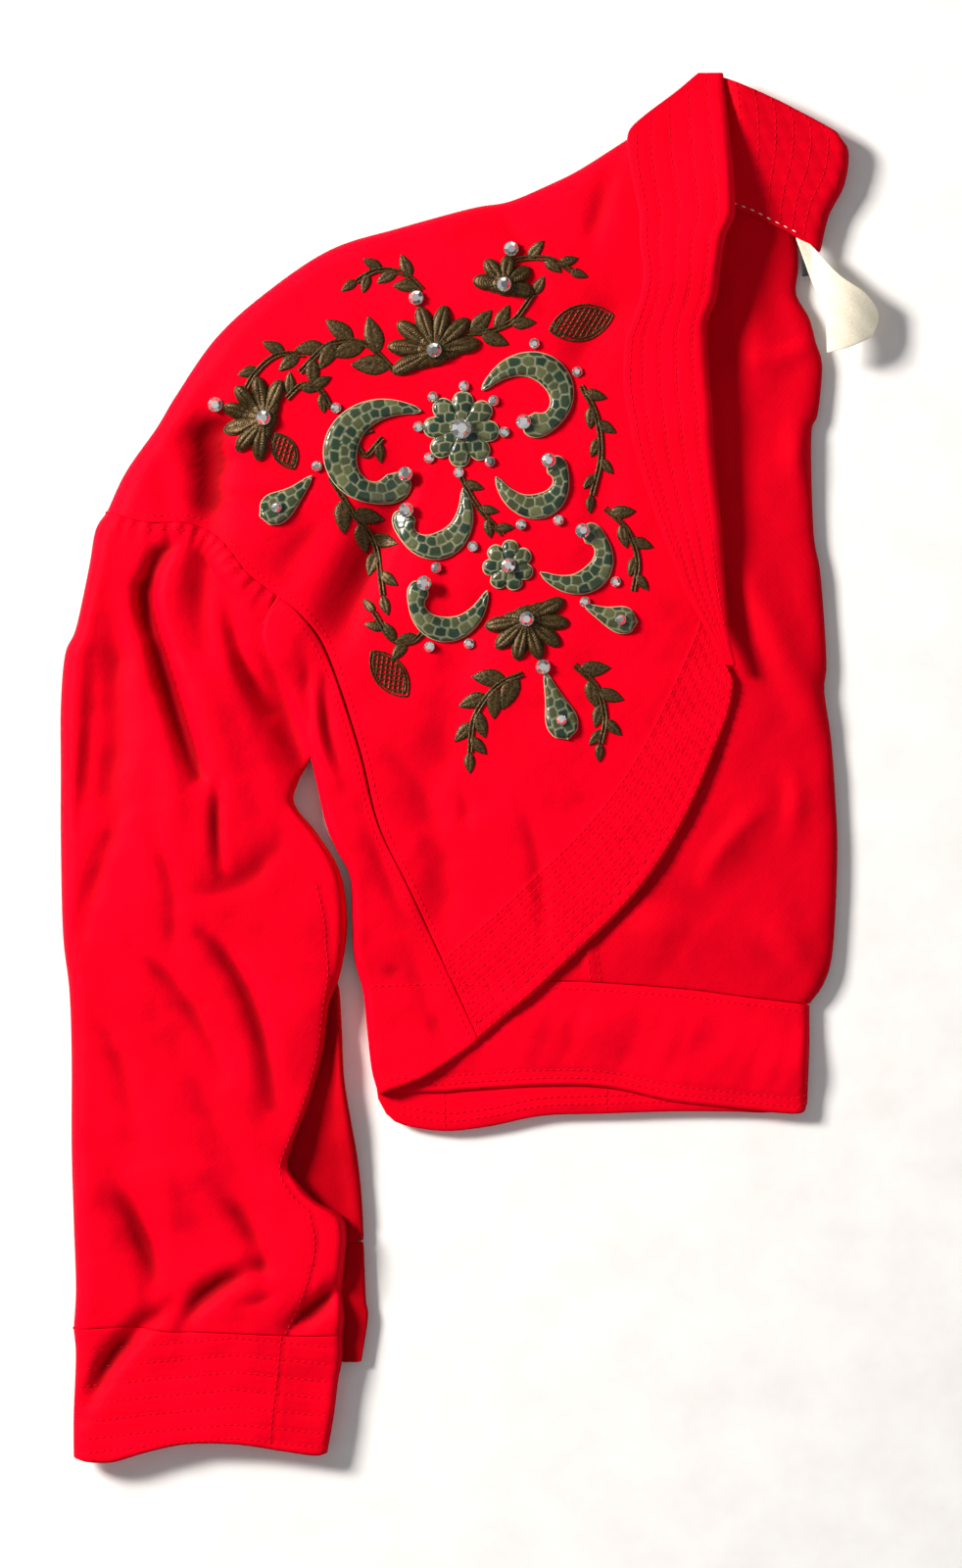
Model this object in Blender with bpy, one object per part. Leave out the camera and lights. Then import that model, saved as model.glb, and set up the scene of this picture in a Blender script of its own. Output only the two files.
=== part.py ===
"""Cropped jacket in red cotton sateen, laid flat and folded in half at its centre back.

The half that the wearer has on the right lies on top, so its front, side, sleeve, cuff and
turned-back collar show, with the inside of the back beside them. The other half lies beneath.
Tables are in millimetres, measured to the right and up from the lower left corner of the laid
garment, with z up from the surface it lies on. One empty carries all pieces, so that the whole
is centred on the origin.
"""

import math

import bmesh
import bpy
import numpy as np
from mathutils import Vector
from mathutils.bvhtree import BVHTree

MM = 0.001

# Thickness of each wall, and the space kept between pieces
FRONT_CLOTH = 1.6
SLEEVE_CLOTH = 1.5
BACK_CLOTH = 1.5
COLLAR_CLOTH = 2.0
CUFF_CLOTH = 2.0
HEM_CLOTH = 2.0
BAND_CLOTH = 1.6
LABEL_CLOTH = 0.8
SEAM_GAP = 0.3
LAYER_GAP = 0.6

# The pile of hidden layers: its lowest height, and its rim of two rounded cloth edges
PILE_TOP = 6.0
RIM = (  # how far the rim stands out, height
    (1.2, 5.2),
    (1.4, 3.9),
    (0.6, 3.1),
    (1.4, 2.1),
    (0.9, 0.0),
)
BACK_TOP = PILE_TOP + LAYER_GAP + BACK_CLOTH
MOUND_START = 8.0
MOUND_WIDTH = 18.0
HEM_CLEAR = 232.0

# A rolled edge: how far in from the edge, and how much of the height is reached there
ROLL = ((0.0, 0.0), (0.10, 0.43), (0.35, 0.76), (0.70, 0.95))
SHOULDER_ROLL = 9.0
SLEEVE_ROLL = 8.0
BACK_ROLL = 7.0
BAND_ROLL = 6.0
HEM_ROLL = 5.0
SIDE_ROLL = 4.0

# How far round a point the lowest cloth is looked for, so that a coarser piece stays under it
BACK_REACH = 5
CUFF_REACH = 7
SLEEVE_REACH = 9
PILE_REACH = 12

# Rows and columns of each grid of points
GRIDS = {
    "far_half_body": (15, 13), "sleeve_layers": (23, 7), "far_sleeve": (14, 5), "far_cuff": (7, 4),
    "back_inside": (16, 11), "hem_band": (5, 14), "front_panel": (21, 12), "side_panel": (23, 4),
    "sleeve": (29, 11), "cuff": (8, 11), "collar_front": (23, 11), "collar_stand": (13, 5),
    "collar_back": (10, 9), "care_label": (8, 5), "neck_label": (3, 3),
}

# Outlines, x and y
SHOULDER = (
    (21, 436), (30, 455), (44, 475), (53, 490), (71, 516), (94, 537), (124, 557), (156, 567),
    (189, 576), (206, 579), (225, 587), (239, 594), (261, 608),
)
FRONT_SEAM = (
    (192, 194), (162, 260), (147, 292), (138, 328), (124, 370), (112, 388), (99, 398), (86, 408),
    (72, 425), (57, 431), (40, 431), (21, 436),
)
HEAD_CORNERS = 6
FRONT_EDGE = (
    (192, 194), (199, 200), (218, 216), (234, 231), (257, 253), (274, 274), (289, 300), (304, 336),
    (308, 349), (309, 358),
)
UNDER_COLLAR = (
    (309, 358), (303, 372), (294, 400), (284, 432), (275, 465), (272, 495), (276, 525), (279, 550),
    (275, 578), (270, 595), (261, 608),
)
SIDE_FOLD = (
    (146, 169), (143, 180), (141, 197), (139, 216), (135, 231), (134, 249), (133, 269), (127, 281),
    (122, 293), (118, 311), (112, 336), (107, 350), (100, 362), (95, 371), (93, 380), (94.5, 386),
)
SIDE_HEM = ((146, 169), (167, 177), (187, 190), (192, 194))
SLEEVE_LEFT = (
    (6, 61), (7, 80), (6, 110), (5, 145), (5, 185), (4, 216), (1, 243), (0, 287), (0, 317), (0, 347),
    (2, 371), (7, 383), (13, 411), (16, 428), (21, 436),
)
SLEEVE_RIGHT = (
    (129, 58), (130, 66), (129, 77), (130, 90), (131, 103), (129, 112), (118, 119), (110, 127),
    (104, 136), (107, 148), (114, 166), (120, 188), (123, 210), (128, 224), (131, 243), (130, 262),
    (126, 275), (117, 289), (107, 302), (109, 313), (115, 326), (112, 342), (106, 356), (100, 368),
    (97, 380), (95.5, 387), (96.5, 393), (99, 398),
)
SLEEVE_HEAD = FRONT_SEAM[:-HEAD_CORNERS - 1:-1]
CUFF_TOP = ((6, 61), (32, 62), (50, 60), (63, 60), (85, 59), (106, 58), (129, 58))
CUFF_BOTTOM = (
    (6, 2), (13, 0.4), (24, 0.4), (40, 5), (58, 8.5), (80, 8.5), (101, 5.4), (116, 3.2), (122, 4),
)
CUFF_LEFT = ((6, 2), (6, 21), (7, 48), (6, 61))
CUFF_RIGHT = ((122, 4), (125, 21), (127, 37), (129, 48), (129, 58))
COLLAR_OUTER = (
    (304.5, 366), (299.5, 378), (286, 402), (283, 410), (273, 436), (264, 464), (262, 475),
    (259, 492), (259, 505), (260, 516), (263, 523), (267, 536), (268, 547), (266, 559), (266, 572),
    (262, 593), (261, 608), (266, 615), (284, 629), (293, 637),
)
ROLL_LINE = (
    (309.8, 366), (307, 379), (305, 405), (303, 432), (301, 452), (300, 464), (299, 484),
    (298, 495), (297, 511), (297, 523), (301, 534), (303, 549), (305, 562), (309, 571), (309, 585),
    (308, 598), (306.8, 611), (305.3, 626), (304.3, 637),
)
BACK_FOLD = (
    (344, 210), (351, 220), (355, 236), (357, 278), (356, 306), (354, 333), (351, 354), (352, 366),
    (351, 386), (349, 410), (346, 428), (345, 472), (348, 482), (350, 504), (347, 515), (344, 526),
    (338, 537), (339, 549), (337, 563),
)
BACK_LEFT = (
    (144, 222), (141, 235), (140, 255), (139, 269), (134, 283), (129, 295), (124, 311), (116, 332),
    (108, 352), (101, 368), (98, 380), (97, 390), (90, 402), (76, 424), (60, 434), (34, 443),
)
BACK_TOP_EDGE = (
    (34, 443), (60, 485), (86, 516), (113, 536), (157, 556), (206, 568), (252, 590), (280, 592),
    (306, 574), (337, 563),
)
HEM_SEAM = ((144, 222), (180, 223), (224, 221), (249, 220), (288, 217), (311, 214), (344, 210))
HEM_LOWER = (
    (151, 169.5), (176, 170), (187, 171), (224, 173), (252, 172), (280, 166), (306, 163), (338, 160),
    (343, 164),
)
HEM_RIGHT = ((343, 164), (344, 190), (344, 210))
FAR_HEM = (
    (147, 167), (150, 161), (157, 156), (176, 153), (196, 155), (221, 160), (249, 161), (280, 162),
    (306, 162), (326, 161.5), (334, 164),
)

# The top of the upper half before its folds: x, y, height
HILLS = (
    (45, 150, 19), (40, 300, 21), (50, 400, 21), (70, 90, 17), (100, 230, 18), (60, 30, 13),
    (120, 20, 12), (90, 480, 18), (160, 520, 16), (230, 560, 15.5), (170, 420, 14.5),
    (230, 470, 14.5), (200, 330, 14), (280, 400, 13), (150, 330, 15), (160, 230, 12.2),
    (190, 205, 12.0), (270, 300, 12.2), (110, 380, 19), (150, 185, 12.0), (300, 365, 10.8),
)
HILL_SPREAD = 26.0

# Folds: where it lies, start, bend, end, half width, height (minus for a trough)
FOLDS = (
    ("all", (57, 474), (61, 448), (55, 424), 10, -5.0),
    ("sleeve", (57, 426), (36, 394), (60, 318), 5.5, -7.5),
    ("all", (94, 492), (86, 474), (58, 471), 6, -3.5),
    ("sleeve", (24, 392), (19, 340), (30, 290), 6, -2.8),
    ("sleeve", (28, 300), (12, 262), (8, 236), 5, -2.0),
    ("sleeve", (93, 388), (98, 350), (118, 302), 10, -9.0),
    ("sleeve", (58, 374), (70, 345), (82, 300), 8, 2.2),
    ("sleeve", (73, 313), (72, 295), (74, 275), 3, -1.8),
    ("sleeve", (40, 293), (54, 270), (51, 236), 4, -1.5),
    ("sleeve", (60, 243), (92, 232), (95, 166), 7.5, -2.6),
    ("sleeve", (51, 205), (69, 158), (98, 91), 9, -2.2),
    ("sleeve", (22, 153), (19, 120), (35, 90), 7, -2.0),
    ("sleeve", (44, 140), (50, 120), (52, 100), 8, 1.2),
    ("sleeve", (57, 63), (62, 84), (91, 90), 5.5, -3.0),
    ("sleeve", (83, 73), (92, 73), (99, 78), 3, -1.6),
    ("sleeve", (10, 22), (32, 48), (54, 78), 5, -4.2),
    ("sleeve", (106, 62), (116, 72), (128, 87), 5.5, -3.0),
    ("body", (73, 443), (94, 440), (114, 447), 5, -2.0),
    ("body", (164, 451), (132, 424), (105, 392), 12, -3.4),
    ("body", (172, 456), (152, 420), (139, 384), 4, 1.5),
    ("body", (178, 440), (176, 400), (178, 366), 7, -1.5),
    ("body", (262, 534), (242, 520), (232, 497), 9, -2.4),
    ("body", (256, 598), (246, 580), (243, 558), 5, -2.0),
    ("body", (156, 322), (180, 288), (174, 246), 8, -2.5),
    ("body", (185, 309), (187, 300), (185, 290), 4, -1.2),
    ("body", (212, 302), (222, 272), (222, 238), 4, -1.2),
    ("body", (161, 229), (168, 212), (175, 192), 4.5, -1.0),
    ("body", (118, 362), (115, 338), (127, 311), 3.5, 2.0),
    ("body", (111, 376), (116, 349), (113, 334), 3.5, -1.0),
    ("body", (121, 358), (120, 333), (128, 319), 3.5, -2.4),
    ("body", (152, 227), (152, 226), (152, 224), 3.5, -1.0),
)
BACK_FOLDS = (
    ("back", (320, 506), (336, 508), (350, 516), 3.5, 2.0),
    ("back", (313, 412), (329, 378), (346, 343), 8, 3.4),
    ("back", (340, 478), (336, 462), (342, 448), 6, 2.2),
    ("back", (296, 268), (306, 288), (323, 300), 4.5, 2.4),
    ("back", (262, 240), (276, 250), (288, 240), 10, 2.6),
    ("back", (336, 316), (340, 305), (336, 290), 5, 2.0),
    ("back", (324, 246), (334, 242), (346, 226), 6, 2.4),
    ("back", (242, 239), (243, 230), (245, 223), 2.5, 1.2),
    ("back", (316, 545), (322, 520), (318, 500), 7, 2.0),
)

# Height of the rolled collar above the surface: y, at the outer edge, at the roll
COLLAR_HEIGHTS = (
    (361, 17.6, 17.6), (377, 18.0, 18.0), (401, 18.0, 18.2), (437, 18.6, 20.0), (482, 19.4, 22.0),
    (518, 22.5, 23.5), (540, 25.5, 26.5), (560, 25.0, 28.0), (586, 23.5, 27.0), (608, 21.0, 23.0),
    (625, 17.5, 18.5), (640, 14.5, 15.0),
)
CHANNEL_RISE = 0.9
QUILT_ROWS = 8
QUILT_PITCH = 4.9
QUILT_RISE = 0.55
QUILT_SINK = 0.15
QUILT_START = 0.35

# Hidden layers: the outlines of their piles, inside the outline of what covers them
BODY_PILE_LEFT = (
    (147, 167), (145, 182), (143, 197), (142, 216), (140, 235), (139, 255), (138, 269), (133, 283),
    (128, 295), (123, 311), (115, 332), (107, 352), (100, 368), (97, 380), (96, 390), (89, 402),
    (75, 424), (59, 434), (33, 443),
)
BODY_PILE_RIGHT = (
    (334, 164), (334, 190), (335, 210), (341, 224), (348, 236), (350, 278), (349, 306), (347, 333),
    (344, 354), (345, 366), (344, 386), (342, 410), (339, 428), (338, 472), (341, 482), (343, 504),
    (340, 515), (337, 526), (331, 537), (332, 549), (330, 563),
)
BODY_PILE_TOP = (
    (33, 443), (61, 482), (87, 513), (114, 533), (158, 553), (207, 565), (253, 587), (281, 589),
    (307, 571), (330, 563),
)
SLEEVE_PILE_LEFT = (
    (8.5, 4), (8, 30), (9, 61), (9.5, 80), (8.5, 110), (7.5, 145), (7.5, 185), (6.5, 216),
    (3.5, 243), (2.5, 287), (2.5, 317), (2.5, 347), (4.5, 371), (9.5, 383), (15.5, 411), (22, 426),
)
SLEEVE_PILE_RIGHT = (
    (120, 5), (123, 21), (125, 37), (125, 60), (125, 95), (117, 108), (101, 119), (93, 134),
    (96, 150), (103, 170), (109, 190), (113, 207), (119, 222), (125, 240), (125, 260), (120, 273),
    (111, 287), (102, 300), (103, 314), (103, 328), (96, 350), (87, 368), (81, 380), (79, 390),
    (76, 398),
)
SLEEVE_PILE_BOTTOM = ((8.5, 4), (24, 2.5), (40, 7), (58, 10.5), (80, 10.5), (101, 7.5), (120, 5))
SLEEVE_PILE_TOP = ((22, 426), (42, 415), (60, 412), (76, 398))
FAR_SLEEVE_LEFT = (
    (126.5, 102), (121, 113), (107, 124), (99, 137), (101, 150), (107, 168), (113, 188), (117, 206),
    (122, 218),
)
FAR_SLEEVE_RIGHT = (
    (138, 102), (137, 122), (135, 140), (132, 157), (129, 176), (128, 197), (127, 214), (126, 220),
)
FAR_CUFF_LEFT = ((129, 46), (128.5, 70), (128, 99.5))
FAR_CUFF_RIGHT = ((137, 46), (140, 66), (139, 74), (138, 99.5))
FAR_TOP = 5.6
FAR_RIM = ((1.0, 4.4), (0.6, 2.9), (1.0, 1.6), (0.6, 0.0))
FAR_RIDGE = ("far", (126, 214), (127, 160), (134, 112), 5, 3.0)

# The side panel's top corner under the arm, and how many corners of the seam it shares
SIDE_TOP = ((94.5, 386), (98, 391), (102, 395.7))
SIDE_CORNERS = 6

# How far the rolled edges come down: y, drop; or the height that they reach
SIDE_DROPS = ((169, 5.2), (296, 7.0), (312, 4.0), (330, 1.5), (396, 1.0))
SLEEVE_DROPS = (
    (58, 5.0), (70, 6.0), (108, 8.0), (125, 4.0), (137, 2.5), (205, 2.5), (222, 5.0), (240, 7.5),
    (295, 7.5), (310, 3.0), (328, 0.0), (420, 0.0),
)
SLEEVE_FOOT = 9.0
CUFF_FOOT = 8.4
BACK_FOOT = 4.4
HEM_TOP = BACK_TOP + 0.5
HEM_FOOT = 4.6
SHOULDER_FOOT = 8.0
EDGE_TURN = 0.9

# The band inside the neck, the tag and the tab
BAND_LEFT = ((308.2, 572), (308.6, 600), (307.4, 616), (305.4, 636))
BAND_RIGHT = ((349, 556.5), (353, 573), (360, 587), (362, 602), (358, 609))
BAND_NECK = ((308.2, 572), (326, 563.5), (336, 560), (345, 556.5), (349, 556.5))
BAND_TOP = ((305.4, 636), (329, 625), (354, 612), (358, 609))
BAND_DROPS = ((556, 2.5), (575, 4.5), (610, 4.5))
BAND_BASE = 1.6
BAND_ROW_RISE = 0.3
BAND_ROW_PITCH = 11.0
BAND_ROW_LEAN = 0.45
BAND_SLOPES = (0.07, 0.03)  # it rises away from the neck and towards the collar
BAND_LOW = (350, 560)
BAND_MOST = 7.0
TAG_LEFT = ((352, 509.5), (351, 527), (345, 543), (338, 556))
TAG_RIGHT = ((373, 517), (375.6, 527), (370, 536), (357, 545), (344, 556))
TAG_BOTTOM = ((352, 509.5), (362, 512), (373, 517))
TAG_TOP = ((338, 556), (344, 556))
TAG_BASE = 2.3
TAG_CURL_START = 345.0
TAG_CURL_WIDTH = 32.0
TAG_CURL_RISE = 5.0
TAB_LEFT = ((341, 545), (340.5, 556))
TAB_RIGHT = ((348, 546), (347, 556))
TAB_BOTTOM = ((341, 545), (348, 546))
TAB_TOP = ((340.5, 556), (347, 556))
TAB_BASE = 1.2

# The rolled collar: the height it is turned down to, where that begins, its hidden stand
COLLAR_ROLL = 6.0
COLLAR_TURN = ((0.45, 0.04), (0.12, 0.16), (0.0, 0.42), (0.15, 0.72), (0.5, 1.0))
COLLAR_FOOT = BACK_TOP + 2.0
COLLAR_TIP = 361.0
COLLAR_DEEPENS = 35.0
COLLAR_SHALLOW = 0.3
COLLAR_BELLY = 1.3
COLLAR_THINS = (5.0, 20.0)  # the cloth thins where the width and the first are below the second
COLLAR_ROLL_SHARE = 0.3
RIDGE_WIDTH = 16.0
STAND_SHARES = (0.22, 0.90)
STAND_INSET = 8.5
STAND_FLOOR = BACK_TOP + 1.0
STAND_FROM_FRONT = 5.5
STAND_FROM_EDGE = 10.0
STAND_LEAST = 2.5
STAND_CLEARANCE = (1.1, 1.4)  # under the turned collar, at its left and at its right

# Raised motifs on the front, set out down an axis that leans to the right of straight down
MOTIF_MIDDLE = (184, 474)
MOTIF_LEAN = 19.0
MOTIF_GAP = 0.8
MOTIF_RISE = 2.2
MOTIF_STATIONS = {"scroll": 14, "drop": 9}
MOTIF_WIDTHS = {  # share of the length, share of the half width
    "scroll": ((0, 0.14), (0.25, 0.7), (0.5, 1.0), (0.78, 0.62), (0.92, 0.85), (1, 0.35)),
    "drop": ((0, 0.1), (0.35, 0.5), (0.7, 1.0), (0.9, 0.8), (1, 0.3)),
}
MOTIF_SECTION = ((-1, 0.0), (0, 0.0), (1, 0.0), (0.72, 1.7), (0, MOTIF_RISE), (-0.72, 1.7))
LOBED_SECTION = ((0.55, 0.0), (1.0, 0.0), (0.97, 1.4), (0.55, MOTIF_RISE))
LOBE = {"palmette": (0.56, 0.86, 1.0, 0.86), "rosette": (0.72, 0.97, 0.97)}
FAN_SPREAD = {"palmette": 230.0, "rosette": 360.0}
MOTIFS = (  # name, kind, down, out, heading, length or radius, turn or lobes, half width
    ("rosette_middle", "rosette", 0, 0, 0, 17, 8, 0),
    ("rosette_low", "rosette", 66, 0, 0, 11.5, 7, 0),
    ("palmette_top", "palmette", -38, 0, 180, 21, 7, 0),
    ("palmette_low", "palmette", 92, 0, 0, 19, 7, 0),
    ("palmette_shoulder", "palmette", -34, -84, -125, 19, 7, 0),
    ("palmette_neck", "palmette", -56, 40, 150, 14, 5, 0),
    ("scroll_upper_left", "scroll", -14, -15, -118, 92, 270, 7.5),
    ("scroll_upper_right", "scroll", -14, 15, 118, 74, -270, 6.5),
    ("scroll_middle_left", "scroll", 26, -8, -10, 60, -230, 6.0),
    ("scroll_middle_right", "scroll", 26, 8, 10, 54, 230, 5.5),
    ("scroll_foot_left", "scroll", 74, -13, -40, 58, -220, 5.5),
    ("scroll_foot_right", "scroll", 74, 13, 40, 54, 220, 5.5),
    ("drop_low", "drop", 118, 0, 0, 32, 0, 7.0),
    ("drop_shoulder", "drop", -2, -72, -60, 30, -30, 7.0),
    ("drop_collar", "drop", 94, 27, 42, 26, 30, 6.0),
)

# Colour, roughness
RED = ((0.80, 0.004, 0.022), 0.55)
DEEP_RED = ((0.45, 0.003, 0.012), 0.6)
CREAM = ((0.72, 0.66, 0.52), 0.5)
BLACK = ((0.02, 0.02, 0.02), 0.6)
GREEN = ((0.08, 0.13, 0.07), 0.35)
BRONZE = ((0.16, 0.09, 0.02), 0.45)


def curve(points, steps=12):
    """A smooth line through a short list of points."""
    given = np.array(points, float)
    padded = np.vstack([2 * given[0] - given[1], given, 2 * given[-1] - given[-2]])
    t = np.linspace(0, 1, steps, endpoint=False)[:, None]
    parts = []
    for a, b, c, d in zip(padded, padded[1:], padded[2:], padded[3:]):
        bend = 2 * a - 5 * b + 4 * c - d
        parts.append(0.5 * (2 * b + (c - a) * t + bend * t**2 + (3 * b - a - 3 * c + d) * t**3))
    return np.vstack(parts + [given[-1:]])


def along(points, share):
    """Points of the line at shares of the way from its first end to its last."""
    line = curve(points)
    chord = line[-1] - line[0]
    way = np.maximum.accumulate((line - line[0]) @ chord / (chord @ chord))
    return np.stack([np.interp(share, way, line[:, k]) for k in (0, 1)], axis=-1)


def four_sides(left, right, bottom, top, u, v):
    """Points of the sheet between four lines, at shares u across and v along."""
    a, b = along(left, v), along(right, v)
    c, d = along(bottom, u), along(top, u)
    u, v = u[..., None], v[..., None]
    corners = [np.array(p, float) for p in (left[0], right[0], left[-1], right[-1])]
    flat = (
        (1 - u) * (1 - v) * corners[0] + u * (1 - v) * corners[1]
        + (1 - u) * v * corners[2] + u * v * corners[3]
    )
    return (1 - u) * a + u * b + (1 - v) * c + v * d - flat


def fold_height(x, y, fold, wider=0.0):
    """How far one fold lifts the cloth at each point."""
    _, start, bend, end, half_width, height = fold
    t = np.linspace(0, 1, 17)[:, None]
    line = (1 - t) ** 2 * np.array(start) + 2 * t * (1 - t) * np.array(bend) + t**2 * np.array(end)
    gaps = np.stack([np.hypot(x - px, y - py) for px, py in line])
    nearest = gaps.argmin(axis=0) / 16
    fade = np.sin(np.pi * np.clip(0.12 + 0.76 * nearest, 0, 1))
    return height * fade * np.exp(-((gaps.min(axis=0) / (half_width + wider)) ** 2))


def hills(x, y):
    weights = [1 / ((x - px) ** 2 + (y - py) ** 2 + HILL_SPREAD**2) ** 2 for px, py, _ in HILLS]
    return sum(w * z for w, (_, _, z) in zip(weights, HILLS)) / sum(weights)


def top_height(x, y, place):
    """Outer face of the upper half, on the sleeve or on the body."""
    used = [f for f in FOLDS if f[0] in ("all", place)]
    return hills(x, y) + sum(fold_height(x, y, f) for f in used)


def lowest_near(height, x, y, reach):
    """The lowest height close to each point, so that a coarser piece stays under it."""
    steps = [(dx, dy) for dx in (-reach, 0, reach) for dy in (-reach, 0, reach)]
    return np.min([height(x + dx, y + dy) for dx, dy in steps], axis=0)


def body_top(x, y):
    return top_height(x, y, "body")


def sleeve_top(x, y):
    return top_height(x, y, "sleeve")


def inside_distance(x, y, outline):
    """How far each point lies inside a closed outline, and zero outside it."""
    ends = np.roll(outline, -1, axis=0)
    inside = np.zeros(np.shape(x), bool)
    nearest = np.full(np.shape(x), 1e9)
    for (x0, y0), (x1, y1) in zip(outline, ends):
        if y0 != y1:
            crosses = ((y0 > y) != (y1 > y)) & (x < (x1 - x0) * (y - y0) / (y1 - y0) + x0)
            inside ^= crosses
        length = max((x1 - x0) ** 2 + (y1 - y0) ** 2, 1e-9)
        t = np.clip(((x - x0) * (x1 - x0) + (y - y0) * (y1 - y0)) / length, 0, 1)
        nearest = np.minimum(nearest, np.hypot(x - x0 - t * (x1 - x0), y - y0 - t * (y1 - y0)))
    return np.where(inside, nearest, 0.0)


def mound(x, y, outline, start):
    """0 up to a distance inside the outline, then rising smoothly to 1."""
    t = np.clip((inside_distance(x, y, outline) - start) / MOUND_WIDTH, 0, 1)
    return t * t * (3 - 2 * t)


def closed(*sides):
    return np.vstack([curve(side, 4)[:-1] for side in sides])


BODY_OUTLINE = closed(
    SIDE_HEM, FRONT_EDGE, UNDER_COLLAR, SHOULDER[::-1], SLEEVE_HEAD, SIDE_FOLD[::-1]
)
SLEEVE_OUTLINE = closed(CUFF_TOP, SLEEVE_RIGHT, SLEEVE_HEAD[::-1], SLEEVE_LEFT[::-1])
CUFF_OUTLINE = closed(CUFF_BOTTOM, CUFF_RIGHT, CUFF_TOP[::-1], CUFF_LEFT[::-1])


def under_front(x, y, start):
    """How much of the mound under the front is reached: none beside its edges or at the hem."""
    t = np.clip((y - HEM_CLEAR) / MOUND_WIDTH, 0, 1)
    return mound(x, y, BODY_OUTLINE, start) * t * t * (3 - 2 * t)


def back_height(x, y):
    """Upper face of the back: low where its inside shows, on the pile under the front."""
    folds = sum(fold_height(x, y, f) for f in BACK_FOLDS)
    share = under_front(x, y, MOUND_START)
    covered = lowest_near(body_top, x, y, BACK_REACH) - FRONT_CLOTH - LAYER_GAP
    return (1 - share) * (BACK_TOP + folds) + share * covered


def body_pile_height(x, y):
    lowest = lowest_near(back_height, x, y, PILE_REACH) - BACK_CLOTH - 2 * LAYER_GAP
    return np.maximum(lowest, PILE_TOP)


def sleeve_pile_height(x, y):
    share = mound(x, y, SLEEVE_OUTLINE, MOUND_START)
    covered = lowest_near(sleeve_top, x, y, SLEEVE_REACH) - SLEEVE_CLOTH - LAYER_GAP
    return (1 - share) * PILE_TOP + share * np.maximum(covered, PILE_TOP)


def across(widths, count, left, right):
    """Shares across each row, with closer columns where an edge rolls, and their rise."""
    plain = np.linspace(0, 1, count)
    rows = []
    for width in widths:
        start, end = left / width, 1 - right / width
        row = [left * d / width for d, _ in ROLL] if left else []
        row += list(start + (end - start) * plain)
        row += [1 - right * d / width for d, _ in ROLL[::-1]] if right else []
        rows.append(row)
    rise = [g for _, g in ROLL]
    rises = (
        rise + [1.0] * (len(rows[0]) - len(rise)),
        [1.0] * (len(rows[0]) - len(rise)) + rise[::-1],
    )
    return np.array(rows), np.array(rises)


def sewn(edge, corners, side):
    """Moves a border's points onto straight runs between corners, half a gap to one side."""
    corners = np.array(corners, float)
    kept = []
    for k, corner in enumerate(corners):
        gaps = np.linalg.norm(edge - corner, axis=1)
        gaps[:kept[-1] + 1 if kept else 0] = 1e9
        gaps[len(edge) - (len(corners) - 1 - k):] = 1e9
        kept.append(int(gaps.argmin()))
    kept[0], kept[-1] = 0, len(edge) - 1
    line = np.stack([np.interp(range(len(edge)), kept, corners[:, k]) for k in (0, 1)], axis=1)
    along_line = np.gradient(line, axis=0)
    along_line /= np.linalg.norm(along_line, axis=1, keepdims=True)
    return line + side * SEAM_GAP / 2 * np.stack([along_line[:, 1], -along_line[:, 0]], axis=1)


def draped(name, sides, height, left=(0, None), right=(0, None), seam=None):
    """Outer face of a cloth piece: a grid between its sides, rolled down at its fold edges."""
    rows, columns = GRIDS[name]
    v = np.linspace(0, 1, rows)
    widths = np.linalg.norm(along(sides[1], v) - along(sides[0], v), axis=1)
    u, rises = across(widths, columns, left[0], right[0])
    xy = four_sides(*sides, u, np.tile(v[:, None], u.shape[1]))
    if seam:
        place, corners, side = seam
        xy[place] = sewn(xy[place], corners, side)
    x, y = xy[..., 0], xy[..., 1]
    z = height(x, y)
    for (_, drop), rise in zip((left, right), rises):
        if drop:
            z = z - (1 - rise) * drop(x, y, z)
    return np.stack([x, y, z], axis=-1)


def unit(vectors):
    return vectors / np.maximum(np.linalg.norm(vectors, axis=-1, keepdims=True), 1e-9)


def grid_normals(face):
    """Each point's normal, evened out with its neighbours' so that a moved face can't cross."""
    normal = unit(np.cross(np.gradient(face, axis=1), np.gradient(face, axis=0)))
    for axis in (0, 1):
        padded = np.concatenate([normal.take([0], axis), normal, normal.take([-1], axis)], axis)
        count = normal.shape[axis]
        near = padded.take(range(count), axis) + padded.take(range(2, count + 2), axis)
        normal = unit(2 * normal + near)
    return normal


def new_piece(name, verts, faces, finish):
    """An object from points in millimetres, its faces turned outwards, with its own material."""
    mesh = bpy.data.meshes.new(name)
    mesh.from_pydata([Vector(p) * MM for p in verts], [], faces)
    work = bmesh.new()
    work.from_mesh(mesh)
    bmesh.ops.recalc_face_normals(work, faces=work.faces)
    work.to_mesh(mesh)
    work.free()
    mesh.shade_smooth()
    mesh.set_sharp_from_angle(angle=math.radians(40))
    material = bpy.data.materials.new(name)
    material.use_nodes = True
    shader = material.node_tree.nodes["Principled BSDF"]
    colour, roughness = finish
    shader.inputs["Base Color"].default_value = (*colour, 1)
    shader.inputs["Roughness"].default_value = roughness
    shader.inputs["Metallic"].default_value = 0.0
    mesh.materials.append(material)
    piece = bpy.data.objects.new(name, mesh)
    bpy.context.collection.objects.link(piece)
    return piece


def border(rows, columns):
    """Indices round the edge of a grid, in order."""
    bottom = [j for j in range(columns)]
    right = [i * columns + columns - 1 for i in range(1, rows)]
    top = [(rows - 1) * columns + j for j in range(columns - 2, -1, -1)]
    left = [i * columns for i in range(rows - 2, 0, -1)]
    return bottom + right + top + left


def cells(rows, columns, start=0):
    return [
        (start + i * columns + j, start + i * columns + j + 1,
         start + (i + 1) * columns + j + 1, start + (i + 1) * columns + j)
        for i in range(rows - 1) for j in range(columns - 1)
    ]


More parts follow.
